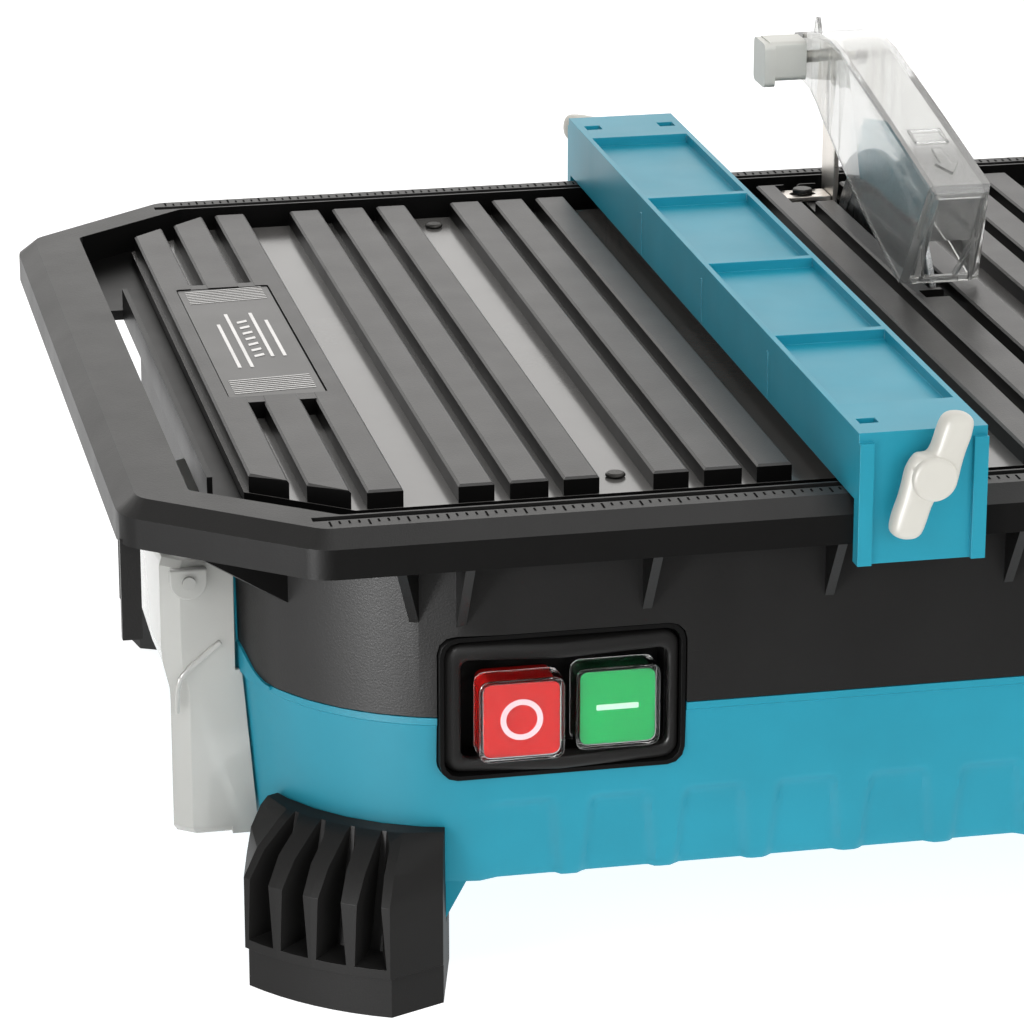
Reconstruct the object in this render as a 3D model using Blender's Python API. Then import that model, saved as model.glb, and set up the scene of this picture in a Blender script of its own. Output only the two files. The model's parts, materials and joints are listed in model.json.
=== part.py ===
"""Small table-top tile cutter with a water-cooled diamond blade, as separate parts with joints.

Lengths are millimetres until a mesh is made. Points are given on the bench: x from the table's left
edge, y from its front edge, z from the surface that the feet stand on. The model's own origin is the
middle of the footprint at foot level, so the front of the machine faces -Y.
"""

import math

import bmesh
import bpy
from mathutils import Matrix, Vector

MM = 0.001
GAP = 0.3                       # clearance between touching parts

# Table
TABLE_LENGTH = 413.0
TABLE_DEPTH = 330.0
TABLE_HEIGHT = 135.0
CORNER_CUT = (46.0, 37.0)       # how far each corner is cut along x and y
CORNER_ROUNDING = 12.0
RIM_BEVEL = 5.0
RIM_BEVEL_DROP = 4.0
SKIRT_DROP = 12.0
SKIRT_WALL = 2.5
RIM_SIDE = 18.8                 # width of the left and right bars
RIM_FRONT = 15.0
RIM_BACK = 14.0
TRAY_CUT = (35.0, 27.0)
TRAY_TOP = TABLE_HEIGHT - 9.0
TRAY_BOTTOM = TABLE_HEIGHT - SKIRT_DROP

# Body below the table
BODY_SIDE = 33.0                # body wall to table edge, left and right
BODY_FRONT = 13.4               # body wall to table edge, front and back
BODY_CORNER = 62.0              # radius of the body's upright corners
BODY_WALL = 2.5
SPLIT_HEIGHT = 77.7             # where the black body meets the coloured tub
TUB_BOTTOM = 29.0
TUB_DRAFT = 4.5                 # how far the tub leans in at its floor

# Ribbed deck
DECK_LEFT = 35.0
DECK_FRONT = 34.5
DECK_BACK = 311.0
DECK_CUT = (26.0, 20.5)
DECK_FLOOR = TABLE_HEIGHT - 6.0
DECK_BOTTOM = TABLE_HEIGHT - 8.7
RIB_TOP = TABLE_HEIGHT - 1.0
RIB_GROUPS = (36.2, 87.9, 139.6, 190.6, 240.5, 287.6, 339.6)    # left edge of each group of ribs
RIBS_IN_GROUP = ((0.0, 9.5), (13.6, 23.8), (27.8, 37.3))
RIB_END = 0.4                   # ribs stop this far inside the deck's edge
BADGE_X = (40.7, 68.3)
BADGE_Y = (121.0, 228.8)
DECK_SCREWS = ((132.4, 47.5), (132.4, 300.0), (332.3, 47.5), (332.3, 300.0))

# Blade, motor and guard, all on the blade's plane
BLADE_X = 263.6
BLADE_Y = 241.0
BLADE_DEPTH = 32.0              # spindle axis below the table top
BLADE_RADIUS = 57.5
SPINDLE_Z = TABLE_HEIGHT - BLADE_DEPTH
SLOT_X = (260.1, 267.1)
SLOT_Y = (185.0, 313.0)
PIVOT_Y = 306.0                 # guard pivot
PIVOT_Z = TABLE_HEIGHT + 42.0

# Fence
FENCE_X = (183.5, 217.5)
FENCE_OVERHANG = 3.4
FENCE_TOP = TABLE_HEIGHT + 18.7
FENCE_SKIRT = TABLE_HEIGHT - 16.6
FENCE_CENTRE = sum(FENCE_X) / 2
KNOB_Z = TABLE_HEIGHT + 8.9
POCKET_EDGES = ((21.0, 83.5), (86.5, 156.5), (159.5, 230.5), (233.5, 306.0))

# Push-button switch in the front wall
SWITCH_X = (78.3, 144.0)
SWITCH_Z = (60.0, 100.0)
STOP_X = 99.2
START_X = 125.4
BUTTON_Z = 78.0
BUTTON_SIZE = 20.0

# Battery bay and its clear cover in the left wall
BAY_Y = (68.0, 158.0)
BAY_Z = (36.0, 108.0)
COVER_HINGE = (28.6, 155.0)     # x, y of the cover's upright hinge
LUGS_Z = (78.0, 99.0)           # undersides of the hinge's two lugs
LUG_HEIGHT = 5.0

MATERIALS = {
    "black_plastic": ((0.022, 0.021, 0.020), 0.55, 0.0, 1.0),
    "deck_plastic": ((0.045, 0.043, 0.041), 0.45, 0.0, 1.0),
    "badge": ((0.060, 0.058, 0.056), 0.35, 0.2, 1.0),
    "teal_plastic": ((0.020, 0.300, 0.440), 0.40, 0.0, 1.0),
    "cream_plastic": ((0.780, 0.760, 0.700), 0.45, 0.0, 1.0),
    "grey_plastic": ((0.550, 0.560, 0.530), 0.45, 0.0, 1.0),
    "clear_plastic": ((0.850, 0.900, 0.900), 0.08, 0.0, 0.3),
    "red_plastic": ((0.640, 0.035, 0.030), 0.35, 0.0, 1.0),
    "green_plastic": ((0.030, 0.450, 0.150), 0.35, 0.0, 1.0),
    "rubber": ((0.020, 0.020, 0.020), 0.75, 0.0, 1.0),
    "steel": ((0.560, 0.550, 0.530), 0.35, 1.0, 1.0),
    "black_oxide": ((0.050, 0.049, 0.048), 0.40, 1.0, 1.0),
    "blade_steel": ((0.420, 0.430, 0.440), 0.30, 1.0, 1.0),
    "copper": ((0.700, 0.330, 0.180), 0.40, 1.0, 1.0),
}


# ---------------------------------------------------------------- scene and mesh helpers

def clear_scene():
    for item in list(bpy.data.objects):
        bpy.data.objects.remove(item, do_unlink=True)


def material(name):
    found = bpy.data.materials.get(name)
    if found:
        return found
    colour, roughness, metallic, alpha = MATERIALS[name]
    made = bpy.data.materials.new(name)
    made.use_nodes = True
    surface = made.node_tree.nodes["Principled BSDF"]
    surface.inputs["Base Color"].default_value = (*colour, 1.0)
    surface.inputs["Roughness"].default_value = roughness
    surface.inputs["Metallic"].default_value = metallic
    surface.inputs["Alpha"].default_value = alpha
    made.diffuse_color = (*colour, alpha)
    return made


def bench(point):
    """A bench point in millimetres as a model point in metres."""
    x, y, z = point
    return Vector((x - TABLE_LENGTH / 2, y - TABLE_DEPTH / 2, z)) * MM


def solid(name, points, faces, look):
    """A closed mesh object from bench points; its faces are turned outward."""
    mesh = bpy.data.meshes.new(name)
    mesh.from_pydata([bench(point) for point in points], [], faces)
    edit = bmesh.new()
    edit.from_mesh(mesh)
    bmesh.ops.recalc_face_normals(edit, faces=edit.faces)
    edit.to_mesh(mesh)
    edit.free()
    mesh.materials.append(material(look))
    mesh.shade_smooth()
    mesh.set_sharp_from_angle(angle=math.radians(28))
    made = bpy.data.objects.new(name, mesh)
    bpy.context.collection.objects.link(made)
    return made


def ring_faces(count, first, second):
    """Quads between two rings of points that start at the indices first and second."""
    return [(first + i, first + (i + 1) % count, second + (i + 1) % count, second + i)
            for i in range(count)]


def loft(name, rings, look):
    """A solid skinned over rings of equal point counts, with both ends capped."""
    count = len(rings[0])
    points = [point for ring in rings for point in ring]
    faces = [tuple(range(count)), tuple(range(len(points) - count, len(points)))]
    for i in range(len(rings) - 1):
        faces += ring_faces(count, i * count, (i + 1) * count)
    return solid(name, points, faces, look)


def hoop(name, rings, look):
    """A solid skinned over rings that close on themselves, such as a tube's wall."""
    count = len(rings[0])
    points = [point for ring in rings for point in ring]
    faces = []
    for i in range(len(rings)):
        faces += ring_faces(count, i * count, ((i + 1) % len(rings)) * count)
    return solid(name, points, faces, look)


def on_plane(outline, axis, at):
    """Places a flat outline at one value of the axis; the other two keep their order."""
    if axis == "x":
        return [(at, a, b) for a, b in outline]
    if axis == "y":
        return [(a, at, b) for a, b in outline]
    return [(a, b, at) for a, b in outline]


def prism(name, outline, axis, low, high, look):
    return loft(name, [on_plane(outline, axis, low), on_plane(outline, axis, high)], look)


def box(name, x, y, z, look):
    outline = [(x[0], y[0]), (x[1], y[0]), (x[1], y[1]), (x[0], y[1])]
    return prism(name, outline, "z", z[0], z[1], look)


def pipe(name, outer, inner, low, high, look):
    """An upright wall between two outlines of equal point counts."""
    rings = [on_plane(outer, "z", low), on_plane(outer, "z", high),
             on_plane(inner, "z", high), on_plane(inner, "z", low)]
    return hoop(name, rings, look)


def circle(centre, radius, steps):
    return arc(centre, radius, 0.0, 360.0, steps)[:-1]


def arc(centre, radius, start, end, steps):
    """Points on an arc, in degrees, both ends included."""
    angles = [math.radians(start + (end - start) * i / steps) for i in range(steps + 1)]
    return [(centre[0] + radius * math.cos(a), centre[1] + radius * math.sin(a)) for a in angles]


def turned(name, centre, profile, look, steps=32, closed=False):
    """A solid turned about an axis along x. The profile is (x, radius); closed makes a ring."""
    rings = [on_plane(circle(centre, radius, steps), "x", x) for x, radius in profile]
    return hoop(name, rings, look) if closed else loft(name, rings, look)


def washer(name, centre, x, inner, outer, look, steps=32):
    profile = [(x[0], outer), (x[1], outer), (x[1], inner), (x[0], inner)]
    return turned(name, centre, profile, look, steps, closed=True)


def cut_corners(x, y, cut):
    """A rectangle with its four corners cut off, counter-clockwise from the front left."""
    (x0, x1), (y0, y1), (cx, cy) = x, y, cut
    return [(x0 + cx, y0), (x1 - cx, y0), (x1, y0 + cy), (x1, y1 - cy),
            (x1 - cx, y1), (x0 + cx, y1), (x0, y1 - cy), (x0, y0 + cy)]


def inset(outline, distance):
    """A convex counter-clockwise outline moved inward by a distance."""
    count = len(outline)
    lines = []
    for i, (ax, ay) in enumerate(outline):
        bx, by = outline[(i + 1) % count]
        length = math.hypot(bx - ax, by - ay)
        nx, ny = -(by - ay) / length, (bx - ax) / length
        lines.append((nx, ny, nx * ax + ny * ay + distance))
    corners = []
    for i in range(count):
        a, b, c = lines[i - 1]
        d, e, f = lines[i]
        det = a * e - b * d
        corners.append(((c * e - b * f) / det, (a * f - c * d) / det))
    return corners


def rounded(outline, radius, steps=3):
    """The outline with each corner replaced by an arc."""
    count = len(outline)
    points = []
    for i in range(count):
        here = Vector(outline[i])
        back = (Vector(outline[i - 1]) - here).normalized()
        ahead = (Vector(outline[(i + 1) % count]) - here).normalized()
        half = back.angle(ahead) / 2
        reach = radius / math.tan(half)
        middle = here + (back + ahead).normalized() * radius / math.sin(half)
        start = here + back * reach - middle
        turn = math.pi - 2 * half
        for k in range(steps + 1):
            angle = turn * k / steps
            x = start.x * math.cos(angle) - start.y * math.sin(angle)
            y = start.x * math.sin(angle) + start.y * math.cos(angle)
            points.append((middle.x + x, middle.y + y))
    return points


def rectangle(x, y):
    return [(x[0], y[0]), (x[1], y[0]), (x[1], y[1]), (x[0], y[1])]


def use(target, tools, operation):
    """Joins tools to the target, or cuts them out of it, and hides them as construction aids."""
    for tool in tools:
        step = target.modifiers.new(operation.lower(), "BOOLEAN")
        step.operation = operation
        step.solver = "EXACT"
        step.object = tool
        tool.hide_render = True
        tool.display_type = "WIRE"
        tool.parent = target
    return target


def join(target, *tools):
    return use(target, tools, "UNION")


def cut(target, *tools):
    return use(target, tools, "DIFFERENCE")


def pivot_at(piece, point):
    """Puts the piece's origin on its joint, without moving the piece."""
    place = bench(point)
    piece.data.transform(Matrix.Translation(-place))
    piece.location = place
    for tool in piece.children:
        tool.location = -place
    return piece


def cylinder(name, axis, centre, span, radius, look, steps=24):
    return prism(name, circle(centre, radius, steps), axis, span[0], span[1], look)


# ---------------------------------------------------------------- outlines shared by several parts

def table_outline(distance=0.0):
    corners = cut_corners((0.0, TABLE_LENGTH), (0.0, TABLE_DEPTH), CORNER_CUT)
    return rounded(inset(corners, distance), CORNER_ROUNDING - distance)


def tray_outline(grow=0.0):
    corners = cut_corners((RIM_SIDE, TABLE_LENGTH - RIM_SIDE), (RIM_FRONT, TABLE_DEPTH - RIM_BACK),
                          TRAY_CUT)
    return rounded(inset(corners, -grow), 3.0 + grow)


def body_outline(distance=0.0):
    corners = rectangle((BODY_SIDE, TABLE_LENGTH - BODY_SIDE), (BODY_FRONT, TABLE_DEPTH - BODY_FRONT))
    return rounded(inset(corners, distance), BODY_CORNER - distance, steps=9)


def deck_outline():
    return cut_corners((DECK_LEFT, TABLE_LENGTH - DECK_LEFT), (DECK_FRONT, DECK_BACK), DECK_CUT)


def corner_point(angle, radius):
    """A point about the centre of the front left body corner."""
    centre = (BODY_SIDE + BODY_CORNER, BODY_FRONT + BODY_CORNER)
    return arc(centre, radius, angle, angle, 1)[0]


def sector(start, end, inner, outer, steps=8):
    """A slice of a ring about the front left body corner."""
    centre = (BODY_SIDE + BODY_CORNER, BODY_FRONT + BODY_CORNER)
    return arc(centre, outer, start, end, steps) + arc(centre, inner, end, start, steps)


CORNERS = {
    "front_left": (False, False),
    "front_right": (True, False),
    "back_left": (False, True),
    "back_right": (True, True),
}


def to_corner(ring, corner):
    """Mirrors a ring of bench points from the front left corner to another one."""
    flip_x, flip_y = CORNERS[corner]
    return [(TABLE_LENGTH - x if flip_x else x, TABLE_DEPTH - y if flip_y else y, z) for x, y, z in ring]


# ---------------------------------------------------------------- table and body

GUSSET_DROP = 21.0
GUSSET_THICKNESS = 2.5
GUSSET_FIRST_X = 84.5
GUSSET_PITCH = 48.6
HAND_SLOT_Y = (62.0, 238.0)
HAND_SLOT_WIDTH = 7.2


def reach(outline, start, direction):
    """Distance from a point inside a convex outline to its edge."""
    nearest = 1000.0
    for i, (ax, ay) in enumerate(outline):
        bx, by = outline[(i + 1) % len(outline)]
        nx, ny = by - ay, ax - bx
        speed = direction[0] * nx + direction[1] * ny
        if speed > 1e-9:
            nearest = min(nearest, ((ax - start[0]) * nx + (ay - start[1]) * ny) / speed)
    return nearest


def gusset(start, direction):
    """A web from the body wall out to the skirt, under the rim."""
    end = reach(table_outline(SKIRT_WALL), start, direction) + 1.0
    lip = reach(tray_outline(1.0), start, direction)
    side = (-direction[1] * GUSSET_THICKNESS / 2, direction[0] * GUSSET_THICKNESS / 2)
    profile = [(-1.5, TRAY_BOTTOM - GUSSET_DROP), (end, TRAY_BOTTOM + 0.2), (end, TABLE_HEIGHT - 3.0),
               (lip, TABLE_HEIGHT - 3.0), (lip, TRAY_TOP - 1.0), (-1.5, TRAY_TOP - 1.0)]
    rings = []
    for sign in (-1, 1):
        rings.append([(start[0] + direction[0] * s + side[0] * sign,
                       start[1] + direction[1] * s + side[1] * sign, z) for s, z in profile])
    return loft("gusset", rings, "black_plastic")


def gussets():
    webs = []
    for i in range(6):
        x = GUSSET_FIRST_X + GUSSET_PITCH * i
        webs.append(gusset((x, BODY_FRONT), (0.0, -1.0)))
        webs.append(gusset((x, TABLE_DEPTH - BODY_FRONT), (0.0, 1.0)))
    for angle in (213.0, 249.0):
        x, y = corner_point(angle, BODY_CORNER)
        away = (math.cos(math.radians(angle)), math.sin(math.radians(angle)))
        for flip_x, flip_y in CORNERS.values():
            start = (TABLE_LENGTH - x if flip_x else x, TABLE_DEPTH - y if flip_y else y)
            webs.append(gusset(start, (-away[0] if flip_x else away[0], -away[1] if flip_y else away[1])))
    return webs


def switch_opening():
    return prism("switch_opening", rounded(rectangle(SWITCH_X, SWITCH_Z), 5.0), "y",
                 BODY_FRONT - 8.0, BODY_FRONT + 20.0, "black_plastic")


def bay_opening():
    return prism("bay_opening", rounded(rectangle(BAY_Y, BAY_Z), 2.0), "x",
                 BODY_SIDE - 8.0, BODY_SIDE + 20.0, "black_plastic")


def deck_screw_holes(span):
    return [cylinder("screw_hole", "z", place, span, 2.0, "black_plastic", 12) for place in DECK_SCREWS]


def table_frame():
    """Rim, skirt, drip tray and the upper half of the body, moulded in one piece."""
    top = TABLE_HEIGHT
    frame = loft("table_frame", [on_plane(table_outline(), "z", TRAY_BOTTOM),
                                 on_plane(table_outline(), "z", top - RIM_BEVEL_DROP),
                                 on_plane(table_outline(RIM_BEVEL), "z", top)], "black_plastic")
    channel = pipe("channel", table_outline(SKIRT_WALL), tray_outline(2.0),
                   TRAY_BOTTOM - 1.0, top - 3.5, "black_plastic")
    tray = prism("tray", tray_outline(), "z", TRAY_TOP, top + 1.0, "black_plastic")
    well = prism("well", rounded(rectangle((50.0, TABLE_LENGTH - 50.0), (56.0, 290.0)), 6.0), "z",
                 TRAY_BOTTOM - 1.0, TRAY_TOP + 1.0, "black_plastic")
    cut(frame, channel, tray, well)

    band = pipe("band", body_outline(), body_outline(BODY_WALL), SPLIT_HEIGHT, TRAY_TOP - 1.0,
                "black_plastic")
    join(frame, band, *gussets())
    for left in (RIM_SIDE, TABLE_LENGTH - RIM_SIDE - HAND_SLOT_WIDTH):
        slot = rectangle((left, left + HAND_SLOT_WIDTH), HAND_SLOT_Y)
        cut(frame, prism("hand_slot", slot, "z", TRAY_BOTTOM - 1.0, TRAY_TOP + 1.0, "black_plastic"))
    wall = 1.5
    for left in (RIM_SIDE + HAND_SLOT_WIDTH, TABLE_LENGTH - RIM_SIDE - HAND_SLOT_WIDTH - wall):
        join(frame, box("slot_wall", (left, left + wall), (HAND_SLOT_Y[0] - 2.0, HAND_SLOT_Y[1] + 2.0),
                        (TRAY_TOP - 1.5, top - 3.0), "black_plastic"))
    join(frame, box("rim_hook", (0.4, 5.6), (38.5, 41.0), (TRAY_BOTTOM - 26.5, TRAY_BOTTOM + 1.0),
                    "black_plastic"))
    knife_gap = box("knife_gap", (249.0, 268.0), (288.0, 312.0), (TRAY_BOTTOM - 1.0, TRAY_TOP + 1.0),
                    "black_plastic")
    cut(frame, switch_opening(), bay_opening(), knife_gap,
        *deck_screw_holes((TRAY_BOTTOM - 1.0, TRAY_TOP + 1.0)))
    return frame


def deck_span(x):
    """Front and back ends of a rib at x, following the deck's cut corners."""
    from_side = min(x - DECK_LEFT, TABLE_LENGTH - DECK_LEFT - x)
    cut_depth = max(0.0, DECK_CUT[1] * (1.0 - from_side / DECK_CUT[0]))
    return DECK_FRONT + cut_depth + RIB_END, DECK_BACK - cut_depth - RIB_END


def rib(x0, x1):
    """One raised strip of the deck, with its top edges eased."""
    ends = [(x, *deck_span(x)) for x in (x0, x1)]
    rings = []
    for ease, z in ((0.0, DECK_FLOOR - 1.0), (0.0, RIB_TOP - 0.6), (0.6, RIB_TOP)):
        (xa, fa, ba), (xb, fb, bb) = ends
        rings.append([(xa + ease, fa + ease, z), (xb - ease, fb + ease, z),
                      (xb - ease, bb - ease, z), (xa + ease, ba - ease, z)])
    return loft("rib", rings, "deck_plastic")


def table_deck():
    """Ribbed plate that the tile lies on, with the blade's slot."""
    deck = prism("table_deck", deck_outline(), "z", DECK_BOTTOM, DECK_FLOOR, "deck_plastic")
    ribs = [rib(group + a, group + b) for group in RIB_GROUPS for a, b in RIBS_IN_GROUP]
    join(deck, *ribs)
    first = RIB_GROUPS[0]
    pad = box("badge_pad", (first + 1.0, first + 36.5), (116.0, 233.0), (DECK_FLOOR - 0.5, RIB_TOP - 0.2),
              "deck_plastic")
    join(deck, pad)
    badge_bed = prism("badge_bed", rounded(rectangle(BADGE_X, BADGE_Y), 1.0), "z",
                      RIB_TOP - 1.4, RIB_TOP + 1.0, "deck_plastic")
    slot = box("blade_slot", SLOT_X, SLOT_Y, (DECK_BOTTOM - 1.0, RIB_TOP + 1.0), "deck_plastic")
    relief = box("slot_relief", (256.5, 267.1), (175.5, 183.0), (DECK_FLOOR + 0.4, RIB_TOP + 1.0),
                 "deck_plastic")
    bracket_bed = box("bracket_bed", (246.4, 261.0), (288.0, 309.4), (TABLE_HEIGHT - 4.5, RIB_TOP + 1.0),
                      "deck_plastic")
    anchor = cylinder("anchor_hole", "z", BRACKET_SCREW, (DECK_BOTTOM - 1.0, RIB_TOP), 1.9,
                      "deck_plastic", 12)
    motor_holes = [cylinder("motor_hole", "z", place, (DECK_BOTTOM - 1.0, RIB_TOP - 2.0), 1.8,
                            "deck_plastic", 12) for place in MOTOR_SCREWS]
    cut(deck, badge_bed, slot, relief, bracket_bed, anchor, *motor_holes,
        *deck_screw_holes((DECK_BOTTOM - 1.0, RIB_TOP)))
    return deck


def deck_screws():
    for i, place in enumerate(DECK_SCREWS, start=1):
        profile_z = ((TRAY_BOTTOM - 4.0, 1.6), (DECK_FLOOR + 0.3, 1.6), (DECK_FLOOR + 0.31, 2.8),
                     (DECK_FLOOR + 0.9, 2.7), (DECK_FLOOR + 1.3, 2.0))
        rings = [on_plane(circle(place, radius, 16), "z", z) for z, radius in profile_z]
        loft(f"deck_screw_{i}", rings, "black_oxide")


def badge_plate():
    edge = GAP
    outline = rounded(rectangle((BADGE_X[0] + edge, BADGE_X[1] - edge),
                                (BADGE_Y[0] + edge, BADGE_Y[1] - edge)), 0.8)
    prism("badge_plate", outline, "z", RIB_TOP - 1.4 + GAP, RIB_TOP - 0.3, "badge")


PANEL_PITCH = 25.4
PANEL_FIRST_X = 92.5


def tub_panels():
    """Cutters for the shallow upright panels along the tub's front and back."""
    cutters = []
    for i in range(9):
        x = PANEL_FIRST_X + PANEL_PITCH * i + 9.0
        for back in (False, True):
            rings = []
            for z, half, depth in ((TUB_BOTTOM - 2.0, 9.5, 6.9), (48.0, 8.0, 5.1), (53.0, 6.5, 0.0)):
                front = BODY_FRONT - 3.0
                wall = BODY_FRONT + depth
                ring = [(x - half - 2.0, front, z), (x + half + 2.0, front, z),
                        (x + half, wall, z), (x - half, wall, z)]
                rings.append([(px, TABLE_DEPTH - py if back else py, pz) for px, py, pz in ring])
            cutters.append(loft("panel", rings, "teal_plastic"))
    return cutters


POST_ANGLES = (203.0, 262.0)


def post_rings(clearance):
    """A leg stub of the tub that its foot slips over, at the front left corner."""
    low, high = POST_ANGLES
    spread = clearance * 1.2
    wide = sector(low - spread, high + spread, 46.0 - clearance, 56.4 + clearance)
    narrow = sector(low + 6.0 - spread, high - 9.0 + spread, 47.5 - clearance, 55.4 + clearance)
    return [on_plane(narrow, "z", 13.0 - clearance), on_plane(wide, "z", TUB_BOTTOM + 1.5 + clearance)]


def lower_tub():
    """Coloured lower half of the body, open at the top."""
    top = SPLIT_HEIGHT - GAP
    tub = loft("lower_tub", [on_plane(body_outline(TUB_DRAFT), "z", TUB_BOTTOM),
                             on_plane(body_outline(0.8), "z", top - 2.2),
                             on_plane(body_outline(0.1), "z", top - 1.8),
                             on_plane(body_outline(0.1), "z", top)], "teal_plastic")
    posts = [loft("post", [to_corner(ring, corner) for ring in post_rings(0.0)], "teal_plastic")
             for corner in CORNERS]
    join(tub, *posts)
    hollow = loft("hollow", [on_plane(body_outline(TUB_DRAFT + 4.2), "z", TUB_BOTTOM + 3.0),
                             on_plane(body_outline(3.4), "z", top + 1.0)], "teal_plastic")
    cut(tub, hollow, switch_opening(), bay_opening(), *tub_panels())
    return tub


# ---------------------------------------------------------------- feet

FOOT_TOP = 46.0
FOOT_ARC = (215.0, 246.5)
FOOT_ENDS = (205.6, 255.9)
FOOT_RADIUS = 80.5
FLUTES = 4
FLUTE_FLOOR = 14.0
# Plan of a flute: degrees from its middle and radius, at its floor and above the foot's top
FLUTE_LOW = ((-3.2, 95.0), (-2.7, 69.5), (0.0, 69.5), (3.2, FOOT_RADIUS), (3.2, 95.0))
FLUTE_HIGH = ((-1.4, 95.0), (-1.2, 63.8), (-0.2, 63.8), (1.4, 67.0), (1.4, 95.0))


def foot_ring(z, outer, end):
    """Foot outline at one height: a curved face, two short end facets and a curved inner face."""
    points = [corner_point(FOOT_ENDS[0], end)]
    points += [corner_point(FOOT_ARC[0] + (FOOT_ARC[1] - FOOT_ARC[0]) * i / 8, outer) for i in range(9)]
    points.append(corner_point(FOOT_ENDS[1], end))
    points += [corner_point(FOOT_ENDS[1] + (FOOT_ENDS[0] - FOOT_ENDS[1]) * i / 8, 41.0) for i in range(9)]
    return on_plane(points, "z", z)


def foot(corner):
    """Corner foot that slips over a stub of the tub, with upright flutes in its outer face."""
    heights = ((0.0, 79.2, 68.4), (10.8, 79.2, 68.4), (11.4, FOOT_RADIUS, 69.5), (31.5, FOOT_RADIUS, 69.5),
               (38.5, 75.5, 68.0), (44.0, 67.8, 64.8), (FOOT_TOP, 64.5, 62.5))
    rings = [to_corner(foot_ring(*height), corner) for height in heights]
    piece = loft(f"foot_{corner}", rings, "rubber")
    tub_room = loft("tub_room", [on_plane(body_outline(TUB_DRAFT - 0.5), "z", TUB_BOTTOM - 0.4),
                                 on_plane(body_outline(0.2), "z", SPLIT_HEIGHT - 2.5)], "rubber")
    stub_room = loft("stub_room", [to_corner(ring, corner) for ring in post_rings(0.5)], "rubber")
    flutes = []
    step = (FOOT_ARC[1] - FOOT_ARC[0]) / FLUTES
    for i in range(FLUTES):
        middle = FOOT_ARC[0] + step * (i + 0.5)
        rings = []
        for plan, z in ((FLUTE_LOW, FLUTE_FLOOR), (FLUTE_HIGH, FOOT_TOP + 2.0)):
            ring = on_plane([corner_point(middle + turn, radius) for turn, radius in plan], "z", z)
            rings.append(to_corner(ring, corner))
        flutes.append(loft("flute", rings, "rubber"))
    return cut(piece, tub_room, stub_room, *flutes)


# ---------------------------------------------------------------- fence

FENCE_WALL = 2.2
PLATE = 2.9                     # thickness of the fence's end plates
JAW_THICKNESS = 3.8
JAW_CLEARANCE = 0.6             # from an open jaw to the rail that it grips
KNOB_Y = (-14.5, -7.2)


def mirror_y(span, back):
    return tuple(sorted(TABLE_DEPTH - y for y in span)) if back else span


def jaw_span(end):
    """Front and back faces of the jaw inside one rail."""
    if end == "front":
        return RIM_FRONT + JAW_CLEARANCE, RIM_FRONT + JAW_CLEARANCE + JAW_THICKNESS
    rail = TABLE_DEPTH - RIM_BACK - JAW_CLEARANCE
    return rail - JAW_THICKNESS, rail


def fence_bar():
    """Rip fence: an open-bottomed bar with shallow pockets, and a plate hooked over each rail."""
    z_low = TABLE_HEIGHT + GAP
    bar = box("fence_bar", FENCE_X, (-FENCE_OVERHANG, TABLE_DEPTH + FENCE_OVERHANG), (z_low, FENCE_TOP),
              "teal_plastic")
    inside = (FENCE_X[0] + FENCE_WALL, FENCE_X[1] - FENCE_WALL)
    hollow = box("hollow", inside, (2.2, TABLE_DEPTH - 2.2), (z_low - 1.0, FENCE_TOP - 5.4), "teal_plastic")
    plates = []
    for back in (False, True):
        span = mirror_y((-FENCE_OVERHANG, -FENCE_OVERHANG + PLATE), back)
        plates.append(box("end_plate", FENCE_X, span, (FENCE_SKIRT, FENCE_TOP - 0.5), "teal_plastic"))
        bar_span = mirror_y((-FENCE_OVERHANG - 1.5, -FENCE_OVERHANG + 0.5), back)
        for left in (FENCE_X[0], FENCE_X[1] - 3.8):
            plates.append(box("plate_edge", (left, left + 3.8), bar_span,
                              (FENCE_SKIRT, FENCE_TOP - 2.5), "teal_plastic"))
    join(bar, *plates)
    pockets = [box("pocket", (FENCE_X[0] + 1.6, FENCE_X[1] - 1.6), span, (FENCE_TOP - 2.8, FENCE_TOP + 1.0),
                   "teal_plastic") for span in POCKET_EDGES]
    notches = [box("notch", (left, left + 5.0), span, (FENCE_TOP - 2.0, FENCE_TOP + 1.0), "teal_plastic")
               for left in (FENCE_X[0] + 2.5, FENCE_X[1] - 7.5) for span in ((4.5, 8.5), (317.0, 322.0))]
    holes = [cylinder("screw_hole", "y", (FENCE_CENTRE, KNOB_Z), mirror_y((-6.0, 4.0), back), 2.4,
                      "teal_plastic", 16) for back in (False, True)]
    cut(bar, hollow, *pockets, *notches, *holes)
    return pivot_at(bar, (FENCE_CENTRE, TABLE_DEPTH / 2, TABLE_HEIGHT))


WING = ((2.9, 14.8), (7.0, 15.8), (10.4, 14.0), (9.9, 9.7), (8.2, 2.0), (7.0, -3.1), (3.4, -5.6))


KNOB_TURN = {"front": 0.0, "back": 96.0}       # how far each knob stands turned, in degrees


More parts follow.
